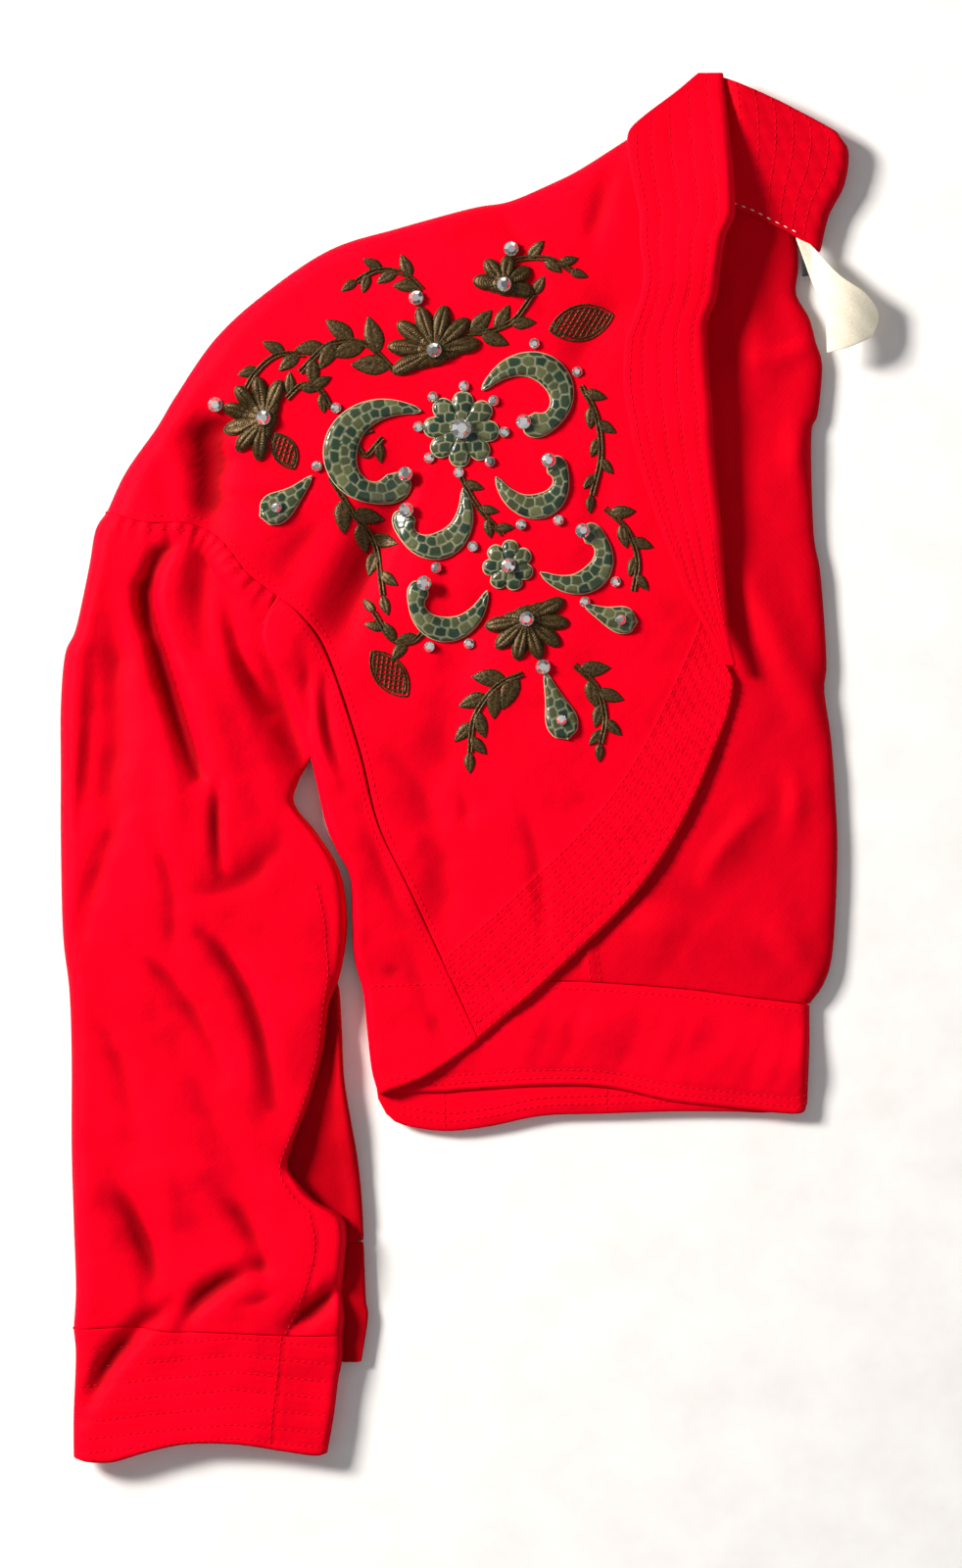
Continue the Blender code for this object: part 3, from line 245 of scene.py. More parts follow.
# How the cloth lies: low hills, then folds, each a start, a bend, an end, half its width and
# its height, with a minus for a trough
lie = dict(
    hills=(
        (45, 150, 19), (40, 300, 21), (50, 400, 21), (70, 90, 17), (100, 230, 18), (60, 30, 13),
        (120, 20, 12), (90, 480, 18), (160, 520, 16), (230, 560, 15.5), (170, 420, 14.5),
        (230, 470, 14.5), (200, 330, 14), (280, 400, 13), (150, 330, 15), (160, 230, 12.2),
        (190, 205, 12.0), (270, 300, 12.2), (110, 380, 19), (150, 185, 12.0), (300, 365, 10.8),
    ),
    spread=26.0,
    folds=dict(
        both=(
            ((69, 486), (69, 452), (66, 424), 9, -7.2),
            ((46, 462), (50, 446), (50, 428), 6, -2.0),
            ((94, 492), (86, 474), (58, 471), 6, -3.5),
        ),
        sleeve=(
            ((58, 430), (36, 410), (40, 384), 4.6, -5.0),
            ((38, 400), (47, 362), (63, 316), 5.0, -8.6),
            ((72, 432), (64, 404), (64, 376), 9, -6.0),
            ((76, 402), (80, 368), (95, 346), 5, -5.0),
            ((88, 392), (103, 364), (111, 342), 4.5, 2.6),
            ((124, 360), (117, 345), (122, 326), 3.5, -2.6),
            ((46, 330), (56, 306), (52, 288), 6, 1.8),
            ((15, 369), (14, 325), (9, 291), 3.6, -2.2),
            ((34, 236), (62, 214), (74, 178), 5, -2.4),
            ((60, 262), (84, 262), (102, 286), 6, -2.2),
            ((16, 205), (30, 186), (34, 150), 6, -1.8),
            ((70, 128), (88, 110), (94, 84), 5, -2.4),
            ((30, 120), (44, 96), (40, 70), 5, -2.0),
            ((24, 396), (26, 340), (20, 292), 9, -4.6),
            ((28, 300), (12, 262), (8, 236), 5, -2.0),
            ((93, 388), (98, 350), (118, 302), 10, -9.0),
            ((58, 374), (70, 345), (82, 300), 8, 2.2),
            ((73, 313), (70, 292), (74, 270), 3, -3.0),
            ((40, 293), (54, 270), (51, 236), 4, -1.5),
            ((66, 242), (92, 218), (97, 165), 5, -4.6),
            ((51, 205), (69, 158), (98, 91), 9, -2.2),
            ((20, 140), (34, 102), (52, 78), 8, -3.4),
            ((44, 140), (50, 120), (52, 100), 8, 1.2),
            ((57, 63), (62, 80), (91, 90), 4.6, -4.6),
            ((83, 73), (92, 73), (99, 78), 3, -1.6),
            ((10, 22), (22, 54), (50, 72), 5, -5.0),
            ((106, 62), (118, 70), (129, 82), 4.5, -5.0),
        ),
        body=(
            ((73, 443), (94, 440), (114, 447), 5, -2.0),
            ((158, 447), (139, 410), (121, 368), 11.5, -7.4),
            ((124, 440), (108, 420), (98, 398), 9, -2.4),
            ((196, 404), (176, 350), (170, 300), 9, -1.8),
            ((250, 470), (244, 430), (252, 392), 8, -1.5),
            ((58, 470), (90, 452), (128, 452), 8, -2.2),
            ((200, 575), (216, 552), (222, 530), 6, -1.6),
            ((140, 300), (148, 270), (158, 248), 5, -1.6),
            ((172, 456), (152, 420), (139, 384), 4, 1.5),
            ((178, 440), (176, 400), (178, 366), 7, -1.5),
            ((262, 534), (242, 520), (232, 497), 9, -2.4),
            ((256, 598), (246, 580), (243, 558), 5, -2.0),
            ((156, 322), (180, 288), (174, 246), 8, -2.5),
            ((185, 309), (187, 300), (185, 290), 4, -1.2),
            ((212, 302), (222, 272), (222, 238), 4, -1.2),
            ((161, 229), (168, 212), (175, 192), 4.5, -1.0),
            ((118, 362), (115, 338), (127, 311), 3.5, 2.0),
            ((111, 376), (116, 349), (113, 334), 3.5, -1.0),
            ((121, 358), (120, 333), (128, 319), 3.5, -2.4),
            ((152, 227), (152, 226), (152, 224), 3.5, -1.0),
        ),
        back=(
            ((320, 506), (336, 508), (350, 516), 3.5, 2.0),
            ((313, 412), (329, 378), (346, 343), 8, 3.4),
            ((340, 478), (336, 462), (342, 448), 6, 2.2),
            ((296, 268), (306, 288), (323, 300), 4.5, 2.4),
            ((262, 240), (276, 250), (288, 240), 10, 2.6),
            ((336, 316), (340, 305), (336, 290), 5, 2.0),
            ((324, 246), (334, 242), (346, 226), 6, 2.4),
            ((242, 239), (243, 230), (245, 223), 2.5, 1.2),
            ((316, 545), (322, 520), (318, 500), 7, 2.0),
        ),
    ),
    ripples=(  # wavelength and height, for cloth that never lies quite flat
        (71, 0.55), (43, 0.42), (27, 0.26), (16, 0.12),
    ),
    seeds=dict(sleeve=3, body=8, back=5, farSleeve=12, farCuff=13, hem=21, farHem=31),
)


def foldHeight(x, y, fold):
    start, bend, end, halfWidth, height = fold
    t = np.linspace(0, 1, 13)[:, None]
    line = (1 - t) ** 2 * np.array(start) + 2 * t * (1 - t) * np.array(bend) + t**2 * np.array(end)
    nearest, share = np.full(np.shape(x), 1e9), np.zeros(np.shape(x))
    for k, (first, second) in enumerate(zip(line, line[1:])):
        run = second - first
        part = np.clip(((x - first[0]) * run[0] + (y - first[1]) * run[1]) / (run @ run), 0, 1)
        gap = np.hypot(x - first[0] - part * run[0], y - first[1] - part * run[1])
        share = np.where(gap < nearest, (k + part) / (len(line) - 1), share)
        nearest = np.minimum(nearest, gap)
    fade = np.sin(np.pi * np.clip(0.12 + 0.76 * share, 0, 1))  # lower towards its ends
    return height * fade * np.exp(-((nearest / halfWidth) ** 2))


def hillHeight(x, y):
    total, weights = 0, 0
    for px, py, z in lie["hills"]:
        weight = 1 / ((x - px) ** 2 + (y - py) ** 2 + lie["spread"] ** 2) ** 2
        total, weights = total + weight * z, weights + weight
    return total / weights


def ripple(x, y, place):
    draw = np.random.default_rng(lie["seeds"][place])
    total = np.zeros(np.shape(x))
    for wavelength, height in lie["ripples"]:
        for _ in range(3):
            turn, shift = draw.uniform(0, math.tau, 2)
            way = (x * math.cos(turn) + y * math.sin(turn)) / wavelength
            total += height / 3 * np.sin(math.tau * (way + 0.3 * np.sin(2.1 * way + shift)) + shift)
    return total


def foldsAt(x, y, *places):
    return sum(foldHeight(x, y, fold) for place in places for fold in lie["folds"][place])


def topHeight(x, y, place):
    return hillHeight(x, y) + foldsAt(x, y, "both", place) + ripple(x, y, place)


def bodyTop(x, y):
    return topHeight(x, y, "body")


def sleeveTop(x, y):
    return topHeight(x, y, "sleeve")


def lowestNear(height, x, y, places):
    return np.min([height(x + dx, y + dy) for dx, dy in places], axis=0)


# The back lies low where its inside shows, then rises under the front
backLie = dict(hem=232, inset=8, reach=18, under=2.2, ripples=0.6, look=5)


def backHeight(x, y):
    inset, reach, look = backLie["inset"], backLie["reach"], backLie["look"]
    hemShare = eased(np.clip((y - backLie["hem"]) / reach, 0, 1))
    share = eased(np.clip((insideDistance(x, y, bodyOutline) - inset) / reach, 0, 1)) * hemShare
    shown = jacket["backTop"] + foldsAt(x, y, "back") + backLie["ripples"] * ripple(x, y, "back")
    covered = lowestNear(bodyTop, x, y, ((0, 0), (look, 0), (-look, 0), (0, look), (0, -look)))
    return (1 - share) * shown + share * (covered - backLie["under"])


# Panels: a grid of points, then a wall round it


def fallsTo(low):
    return lambda x, y, z: z - low


def fallsBy(*table):
    # A fall that changes with y
    return lambda x, y, z: np.interp(y, *zip(*table))


def fallsEvenly(drop):
    return lambda x, y, z: np.full(np.shape(z), drop)


# Edges: distances in from each, the share of the height reached there, and the fall
edgeShapes = dict(
    seam=((0, 0.4, 0.9, 1.6), (0, 0.42, 0.75, 0.93), 0.3),
    turned=((0, 0.25, 0.7, 1.4), (0, 0.45, 0.8, 0.96), 0.8),
)
openEdge = np.zeros(1), np.ones(1), None


def sewnEdge(kind, fall=None):
    distances, shares, usual = edgeShapes[kind]
    return np.array(distances), np.array(shares), fallsEvenly(usual if fall is None else fall)


def rolledEdge(radius, drop):
    angles = np.linspace(0, math.pi / 2, 9)[:-1]
    return radius * (1 - np.cos(angles)), np.sin(angles), drop


def stationsAcross(widths, step, near, far, extra=()):
    # One row of distances for each width, with the closer ones that both edges need
    first = np.concatenate([near[0], near[0][-1] + np.array(extra)]) if len(extra) else near[0]
    start = first[-1] + step
    count = max(int((np.mean(widths) - start - far[0][-1]) / step), 2)
    rows = []
    for width in widths:
        inner = np.linspace(start, max(width - far[0][-1] - step, start + 0.1), count)
        rows.append(np.concatenate([first, inner, width - far[0][::-1]]) / width)
    return np.array(rows)


def gridPlaces(sides, edges, step, stepDown=None, tall=None, extra=()):
    # sides and edges are left, right, bottom, top
    left, right, bottom, top = sides
    tall = tall or lineLength(smoothLine(left))
    v = stationsAcross([tall], stepDown or step, edges[2], edges[3])[0]
    widths = lengths(left, right, v)
    u = stationsAcross(widths, step, edges[0], edges[1], extra)
    xy = fourSides(left, right, bottom, top, u, np.tile(v[:, None], u.shape[1]))
    return xy, u * widths[:, None]


def laidCloth(xy, height, edges):
    # The heights of a grid, brought down at its edges
    x, y = xy[..., 0], xy[..., 1]
    z = height(x, y)
    for k, (_, shares, drop) in enumerate(edges):
        if drop is None:
            continue
        level = np.ones(z.shape[1 if k < 2 else 0])
        if k in (0, 2):
            level[:len(shares)] = shares
        else:
            level[-len(shares):] = shares[::-1]
        z = z - (1 - (level if k < 2 else level[:, None])) * drop(x, y, z)
    return np.stack([x, y, z], axis=-1)


def clothGrid(sides, height, edges, step):
    return laidCloth(gridPlaces(sides, edges, step)[0], height, edges)


# Where the borders of a grid are, and the points next to them
borders = dict(bottom=0, top=-1, left=(slice(None), 0), right=(slice(None), -1))
nextIn = dict(bottom=1, top=-2, left=(slice(None), 1), right=(slice(None), -2))


def insetSeam(face, *names):
    # Half of the gap between two pieces at their seam
    for name in names:
        edge = borders[name]
        face[edge][..., :2] += unit((face[nextIn[name]] - face[edge])[..., :2]) * jacket["seamGap"] / 2
    return face


def gridNormals(face):
    return unit(np.cross(np.gradient(face, axis=1), np.gradient(face, axis=0)))


def loopRound(rows, columns):
    bottom = list(range(columns))
    right = [i * columns + columns - 1 for i in range(1, rows)]
    top = [(rows - 1) * columns + j for j in range(columns - 2, -1, -1)]
    left = [i * columns for i in range(rows - 2, 0, -1)]
    return np.array(bottom + right + top + left)


def cells(rows, columns, start=0):
    corner = (np.arange(rows - 1)[:, None] * columns + np.arange(columns - 1)[None, :]).ravel() + start
    return np.stack([corner, corner + 1, corner + columns + 1, corner + columns], axis=1)


def strip(ring, following):
    return np.stack([np.roll(ring, -1), ring, following, np.roll(following, -1)], axis=1)


def outwards(line):
    return -leftOf(unit(np.roll(line, -1, axis=0) - np.roll(line, 1, axis=0)))


def linked(name, data):
    thing = bpy.data.objects.new(name, data)
    bpy.context.scene.collection.objects.link(thing)
    return thing


def newPiece(name, points, faces, material):
    mesh = bpy.data.meshes.new(name)
    mesh.from_pydata(placed(points).tolist(), [], [tuple(int(i) for i in f) for f in faces])
    mesh.materials.append(material)
    mesh.shade_smooth()
    return linked(name, mesh)


def carry(mesh, label, values):
    # A value for each of the first points of a mesh, for its material or its tree
    data = np.zeros(len(mesh.vertices), np.float32)
    data[:np.size(values)] = np.ravel(values)
    mesh.attributes.new(label, "FLOAT", "POINT").data.foreach_set("value", data)


# Painted shade for the folds: cloth that lies below its surroundings is painted a darker red
paintedShade = dict(reach=4, least=0.1, full=1.6)  # in points of the grid, then how deep in mm


def paintedShades(grid):
    # How far each point lies below its surroundings, for the painted shade in a fold
    z, window = grid[..., 2], 2 * paintedShade["reach"] + 1
    around = np.pad(z, 2 * paintedShade["reach"], mode="edge")
    for axis in (0, 1, 0, 1):
        total = np.cumsum(np.insert(around, 0, 0, axis=axis), axis=axis).swapaxes(0, axis)
        around = ((total[window:] - total[:-window]) / window).swapaxes(0, axis)
    rows, columns = np.indices(z.shape)
    edge = np.minimum.reduce([rows, columns, z.shape[0] - 1 - rows, z.shape[1] - 1 - columns])
    deep = np.clip((around - z - paintedShade["least"]) / paintedShade["full"], 0, 1)
    return deep * np.clip(edge / paintedShade["reach"] / 2, 0, 1)


def wall(name, outer, cloth, material, plain=None, flat=()):
    # The outer face, the same face moved in, and a half-round edge, left flat along a seam
    base = outer if plain is None else plain
    if gridNormals(base)[..., 2].mean() < 0:
        outer, base = outer[:, ::-1], base[:, ::-1]
        flat = [{"left": "right", "right": "left"}.get(side, side) for side in flat]
    rows, columns = outer.shape[:2]
    thick = np.broadcast_to(cloth, (rows, columns, 1))
    inner = (base - thick * gridNormals(base)).reshape(-1, 3)
    outer = outer.reshape(-1, 3)
    loop = loopRound(rows, columns)
    bulge = np.ones((rows, columns))
    for side in flat:
        bulge[borders[side]] = 0
    out = outwards(outer[loop][:, :2]) * bulge.ravel()[loop][:, None]
    upper, lower = outer[loop], inner[loop]
    points, ring, count = [outer, inner], loop, rows * columns
    faces = [cells(rows, columns), cells(rows, columns, count)[:, ::-1]]
    for k, angle in enumerate(np.radians((45, 90, 135))):
        middle = (upper + lower) / 2 + (upper - lower) / 2 * math.cos(angle)
        middle[:, :2] += out * thick.reshape(-1, 1)[loop] / 2 * math.sin(angle)
        following = np.arange(len(loop)) + 2 * count + k * len(loop)
        points.append(middle)
        faces.append(strip(ring, following))
        ring = following
    faces.append(strip(ring, loop + count))
    piece = newPiece(name, np.vstack(points), np.vstack(faces), material)
    # Each point's share of painted fold shade, for the sateen's colour
    carry(piece.data, "paintedShade", np.tile(paintedShades(base).ravel(), 2))
    return piece


# Node trees


def addNode(tree, kind, settings, sockets):
    node = tree.nodes.new(kind)
    for name, value in settings.items():
        setattr(node, name, value)
    for key, value in sockets.items():
        if isinstance(value, bpy.types.NodeSocket):
            tree.links.new(value, node.inputs[key])
        else:
            node.inputs[key].default_value = value
    return node


def hexColour(text):
    parts = [int(text[k:k + 2], 16) / 255 for k in (0, 2, 4)]
    return [c / 12.92 if c < 0.04045 else ((c + 0.055) / 1.055) ** 2.4 for c in parts] + [1.0]


def newMaterial(name, settings):
    # A Principled shader with its fixed values, and the object's own coordinates in metres
    material = bpy.data.materials.new(name)
    material.use_nodes = True
    tree = material.node_tree
    for key, value in settings.items():
        tree.nodes["Principled BSDF"].inputs[key].default_value = value
    return material, tree, addNode(tree, "ShaderNodeTexCoord", {}, {}).outputs["Object"]


def tonesOf(tree, pattern, stops):
    # A pattern's values turned into colours
    ramp = addNode(tree, "ShaderNodeValToRGB", {}, {0: pattern})
    elements = ramp.color_ramp.elements
    while len(elements) < len(stops):
        elements.new(0.5)
    for element, (place, colour) in zip(elements, stops):
        element.position, element.color = place, hexColour(colour)
    return ramp.outputs["Color"]


def dress(material, colour, *reliefs):
    # The colour, then bumps from fine to coarse: a pattern, its strength and its height in mm
    tree, under = material.node_tree, {}
    shader = tree.nodes["Principled BSDF"]
    tree.links.new(colour, shader.inputs["Base Color"])
    for pattern, strength, height in reliefs:
        bump = addNode(tree, "ShaderNodeBump", {}, {
            "Strength": strength, "Distance": height / 1000, "Height": pattern, **under,
        })
        under = {"Normal": bump.outputs["Normal"]}
    tree.links.new(under["Normal"], shader.inputs["Normal"])
    return material


sateen = dict(
    # deep is the dark red of the painted shade laid into the folds
    lit="f0001f", worn="dc001a", inside="d00018", deep="7c0008",
    # under and the next colour are the sateen darkened as painted shade, for the far layers that lie in
    # shade
    under="c20014", shadedWorn="ac0010",
    weaveMm=1.3,   # the real float is 0.3 mm, too fine to show at this size
    bandMm=314.0,  # a wave pattern's band at a scale of 1
    # the last share sets how far the painted fold shade darkens the colour
    slubMm=9.0, cloudMm=36.0, roughness=0.6, sheen=0.01, paintedShadeShare=0.85,
)


def sateenMaterial(name, lit, worn):
    # Cotton sateen, woven with long floats: a smooth face, a soft low sheen, faint diagonal ribs
    material, tree, coords = newMaterial(name, {
        "Roughness": sateen["roughness"], "Specular IOR Level": 0.02, "IOR": 1.47,
        "Sheen Weight": sateen["sheen"], "Sheen Roughness": 0.4, "Sheen Tint": hexColour("ff2038"),
    })
    # Large soft clouds of wear
    cloudy = addNode(tree, "ShaderNodeTexNoise", {}, {
        "Vector": coords, "Scale": 1000 / sateen["cloudMm"], "Detail": 4.0, "Roughness": 0.55,
    })
    colour = tonesOf(tree, cloudy.outputs["Fac"], ((0.28, worn), (0.62, lit)))
    # Painted shade: the colour turns to a deep red where the cloth lies low in a fold
    shadeInFold = addNode(tree, "ShaderNodeAttribute", {"attribute_name": "paintedShade"}, {}).outputs["Fac"]
    share = addNode(tree, "ShaderNodeMath", {"operation": "MULTIPLY"}, {
        0: shadeInFold, 1: sateen["paintedShadeShare"],
    })
    shadedColour = addNode(tree, "ShaderNodeMix", {"data_type": "RGBA"}, {
        0: share.outputs[0], 6: colour, 7: hexColour(sateen["deep"]),
    })
    weave = addNode(tree, "ShaderNodeTexWave", {"bands_direction": "DIAGONAL"}, {
        "Vector": coords, "Scale": sateen["bandMm"] / sateen["weaveMm"], "Distortion": 1.2,
        "Detail": 1.0, "Detail Scale": 2.0,
    })
    slub = addNode(tree, "ShaderNodeTexNoise", {}, {
        "Vector": coords, "Scale": 1000 / sateen["slubMm"], "Detail": 6.0, "Roughness": 0.6,
    })
    reliefs = (weave.outputs["Fac"], 0.10, 0.3), (slub.outputs["Fac"], 0.35, 1.1)
    return dress(material, shadedColour.outputs[2], *reliefs)


leather = dict(
    stops=((0.0, "0c2417"), (0.35, "1b3420"), (0.6, "333b20"), (0.85, "464a2a"), (1.0, "5a5e3a")),
    net="8e8f6e", edge="a5a384", cellMm=4.5, netMm=0.42,
    brick=1.15, uneven=0.16,  # a cell's length to its height, and how far it strays
    grainsPerMm=0.9, grainShare=0.35, grainMiddle=0.17,
)


def leatherMaterial():
    # Calf embossed in a scale pattern and glazed: dark cells with a gloss, pale rubbed lines
    material, tree, coords = newMaterial("embossedGlazedCalf", {
        "Roughness": 0.33, "Specular IOR Level": 0.5, "Coat Weight": 0.35, "Coat Roughness": 0.18,
    })
    tone, net = (
        addNode(tree, "ShaderNodeAttribute", {"attribute_name": name}, {}).outputs["Fac"]
        for name in ("tone", "net")
    )
    grain = addNode(tree, "ShaderNodeTexNoise", {}, {
        "Vector": coords, "Scale": 1000 * leather["grainsPerMm"], "Detail": 4.0,
    }).outputs["Fac"]
    mixed = addNode(tree, "ShaderNodeMath", {"operation": "MULTIPLY_ADD"}, {
        0: grain, 1: leather["grainShare"], 2: tone,
    })
    shifted = addNode(tree, "ShaderNodeMath", {"operation": "SUBTRACT"}, {
        0: mixed.outputs[0], 1: leather["grainMiddle"],
    })
    colour = addNode(tree, "ShaderNodeMix", {"data_type": "RGBA"}, {
        0: net, 6: tonesOf(tree, shifted.outputs[0], leather["stops"]), 7: hexColour(leather["net"]),
    })
    return dress(material, colour.outputs[2], (grain, 0.25, 0.2))


bronze = dict(dark="1f1507", light="644c22", strandMm=0.9, glintsPerMm=1.3, fuzzPerMm=2.6)


def bronzeMaterial():
    # Rayon thread wound with metal foil, laid in satin stitch: dull brown with small gold glints
    material, tree, coords = newMaterial("foiledRayonThread", {
        "Roughness": 0.42, "Metallic": 0.55, "Specular IOR Level": 0.5,
    })
    glint, fuzz = (
        addNode(tree, "ShaderNodeTexNoise", {}, {
            "Vector": coords, "Scale": 1000 * bronze[name], "Detail": detail,
        })
        for name, detail in (("glintsPerMm", 3.0), ("fuzzPerMm", 2.0))
    )
    colour = tonesOf(tree, glint.outputs["Fac"], ((0.35, bronze["dark"]), (0.68, bronze["light"])))
    return dress(material, colour, (fuzz.outputs["Fac"], 0.5, 0.3))


def plainMaterial(name, dark, light, grainMm, settings, bumpMm=0.1):
    # A spun, woven or polished surface with a little cloudiness and a fine grain
    material, tree, coords = newMaterial(name, settings)
    grain = addNode(tree, "ShaderNodeTexNoise", {}, {
        "Vector": coords, "Scale": 1000 / grainMm, "Detail": 4.0, "Roughness": 0.6,
    }).outputs["Fac"]
    return dress(material, tonesOf(tree, grain, ((0.3, dark), (0.7, light))), (grain, 0.4, bumpMm))


finishes = dict(
    sateen=sateenMaterial("redCottonSateen", sateen["lit"], sateen["worn"]),
    inside=sateenMaterial("redCottonSateenInside", sateen["worn"], sateen["inside"]),
    # The sateen darkened as painted shade, for the far sleeve and cuff strips
    under=sateenMaterial("redCottonSateenShaded", sateen["under"], sateen["shadedWorn"]),
    leather=leatherMaterial(),
    bronze=bronzeMaterial(),
    # The calf's cut edge, raw and pale
    rawEdge=plainMaterial("cutCalfEdge", "a5a27c", leather["edge"], 1.5, {"Roughness": 0.7}),
    # Spun polyester core thread, matt, in the cloth's red
    redThread=plainMaterial("spunRedThread", "d00018", "ee0a26", 0.8, {
        "Roughness": 0.8, "Specular IOR Level": 0.05,
    }),
    # Basting cotton, soft and undyed
    basting=plainMaterial("bastingCotton", "d8cfc4", "f4efe8", 0.8, {"Roughness": 0.85}),
    # Foil-backed crystal, cut and polished: bright facets with sharp reflections
    crystal=plainMaterial("foiledCrystal", "f4f6fa", "ffffff", 3.0, {
        "Roughness": 0.03, "Metallic": 0.88, "Coat Weight": 1.0, "Coat Roughness": 0.02,
    }, 0.0),
    # Nickel-plated brass, stamped into claws
    nickel=plainMaterial("nickelPlatedBrass", "a9a59c", "d6d3cc", 1.2, {
        "Roughness": 0.25, "Metallic": 1.0,
    }, 0.02),
    # Acetate satin ribbon, blank, with a low even shine
    ribbon=plainMaterial("acetateSatinRibbon", "e2d8bf", "f4edda", 1.0, {
        "Roughness": 0.45, "Sheen Weight": 0.2, "Specular IOR Level": 0.35,
    }, 0.05),
    # Black woven polyester tape
    tape=plainMaterial("wovenBlackTape", "0d0d0f", "1d1c1f", 0.7, {"Roughness": 0.7}, 0.1),
)


def newTree(name, *inputs):
    tree = bpy.data.node_groups.new(name, "GeometryNodeTree")
    tree.interface.new_socket("Geometry", in_out="INPUT", socket_type="NodeSocketGeometry")
    for label, kind in inputs:
        tree.interface.new_socket(label, in_out="INPUT", socket_type="NodeSocket" + kind)
    tree.interface.new_socket("Geometry", in_out="OUTPUT", socket_type="NodeSocketGeometry")
    return tree, addNode(tree, "NodeGroupInput", {}, {}).outputs


def finishTree(tree, start, instances):
    real = addNode(tree, "GeometryNodeRealizeInstances", {}, {"Geometry": instances})
    dressed = addNode(tree, "GeometryNodeSetMaterial", {}, {
        "Geometry": real.outputs[0], "Material": start["Material"],
    })
    addNode(tree, "NodeGroupOutput", {}, {0: dressed.outputs[0]})
    return tree


def stitchTree():
    # Lines become rows of short rounded stitches
    tree, start = newTree(
        "stitchRows", ("Pitch", "Float"), ("Stitch length", "Float"), ("Thread width", "Float"),
        ("Material", "Material"),
    )
    line = addNode(tree, "GeometryNodeMeshToCurve", {}, {"Mesh": start["Geometry"]})
    spaced = addNode(tree, "GeometryNodeResampleCurve", {"mode": "LENGTH"}, {
        "Curve": line.outputs[0], "Length": start["Pitch"],
    })
    tangent = addNode(tree, "GeometryNodeInputTangent", {}, {})
    turned = addNode(tree, "FunctionNodeAlignRotationToVector", {"axis": "X"}, {
        "Vector": tangent.outputs[0],
    })
    bead = addNode(tree, "GeometryNodeMeshUVSphere", {}, {"Segments": 6, "Rings": 4, "Radius": 0.5})
    size = addNode(tree, "ShaderNodeCombineXYZ", {}, {
        0: start["Stitch length"], 1: start["Thread width"], 2: start["Thread width"],
    })
    stitch = addNode(tree, "GeometryNodeTransform", {}, {
        "Geometry": bead.outputs[0], "Scale": size.outputs[0],
    })
    smooth = addNode(tree, "GeometryNodeSetShadeSmooth", {}, {"Geometry": stitch.outputs[0]})
    rows = addNode(tree, "GeometryNodeInstanceOnPoints", {}, {
        "Points": spaced.outputs[0], "Instance": smooth.outputs[0], "Rotation": turned.outputs[0],
    })
    return finishTree(tree, start, rows.outputs[0])


def cordTree():
    # Lines become round cords with closed ends
    tree, start = newTree("laidCords", ("Cord width", "Float"), ("Material", "Material"))
    line = addNode(tree, "GeometryNodeMeshToCurve", {}, {"Mesh": start["Geometry"]})
    half = addNode(tree, "ShaderNodeMath", {"operation": "MULTIPLY"}, {0: start["Cord width"], 1: 0.5})
    section = addNode(tree, "GeometryNodeCurvePrimitiveCircle", {}, {
        "Resolution": 6, "Radius": half.outputs[0],
    })
    cord = addNode(tree, "GeometryNodeCurveToMesh", {}, {
        "Curve": line.outputs[0], "Profile Curve": section.outputs["Curve"], "Fill Caps": True,
    })
    smooth = addNode(tree, "GeometryNodeSetShadeSmooth", {}, {"Geometry": cord.outputs[0]})
    return finishTree(tree, start, smooth.outputs[0])


def settingTree(name, makePart, tilt):
    # Points become copies of a part, each of the size that its point carries and turned at random
    tree, start = newTree(name, ("Seed", "Int"), ("Material", "Material"))
    part = makePart(tree)
    turn = addNode(tree, "FunctionNodeRandomValue", {"data_type": "FLOAT_VECTOR"}, {
        0: (-tilt, -tilt, 0.0), 1: (tilt, tilt, math.tau), "Seed": start["Seed"],
    })
    size = addNode(tree, "GeometryNodeInputNamedAttribute", {"data_type": "FLOAT"}, {"Name": "size"})
    copies = addNode(tree, "GeometryNodeInstanceOnPoints", {}, {
        "Points": start["Geometry"], "Instance": part.outputs[0], "Rotation": turn.outputs[0],
        "Scale": size.outputs[0],
    })
    return finishTree(tree, start, copies.outputs[0])


# A stone and its setting, as shares of the stone's width
gem = dict(
    facets=8, table=0.26, crown=0.24, tilt=0.16,
    claws=8, claw=0.055, cup=0.52, cupFoot=0.45, cupDepth=0.2,
)


def crownPart(tree):
    # A cut stone
    return addNode(tree, "GeometryNodeMeshCone", {}, {
        "Vertices": gem["facets"], "Radius Top": gem["table"], "Radius Bottom": 0.5, "Depth": gem["crown"],
    })


def clawPart(tree):
    # The cup and claws that hold a stone
    cup = addNode(tree, "GeometryNodeMeshCone", {}, {
        "Vertices": 16, "Radius Top": gem["cup"], "Radius Bottom": gem["cupFoot"], "Depth": gem["cupDepth"],
    })
    low = addNode(tree, "GeometryNodeTransform", {}, {
        "Geometry": cup.outputs[0], "Translation": (0, 0, -0.18),
    })
    ring = addNode(tree, "GeometryNodeMeshCircle", {}, {"Vertices": gem["claws"], "Radius": 0.5})
    tip = addNode(tree, "GeometryNodeMeshUVSphere", {}, {"Segments": 6, "Rings": 4, "Radius": gem["claw"]})
    claw = addNode(tree, "GeometryNodeTransform", {}, {
        "Geometry": tip.outputs[0], "Scale": (1.0, 1.0, 2.4), "Translation": (0, 0, 0.02),
    })
    standing = addNode(tree, "GeometryNodeInstanceOnPoints", {}, {
        "Points": ring.outputs[0], "Instance": claw.outputs[0],
    })
    both = addNode(tree, "GeometryNodeJoinGeometry", {}, {})
    tree.links.new(low.outputs[0], both.inputs[0])
    tree.links.new(standing.outputs[0], both.inputs[0])
    return both


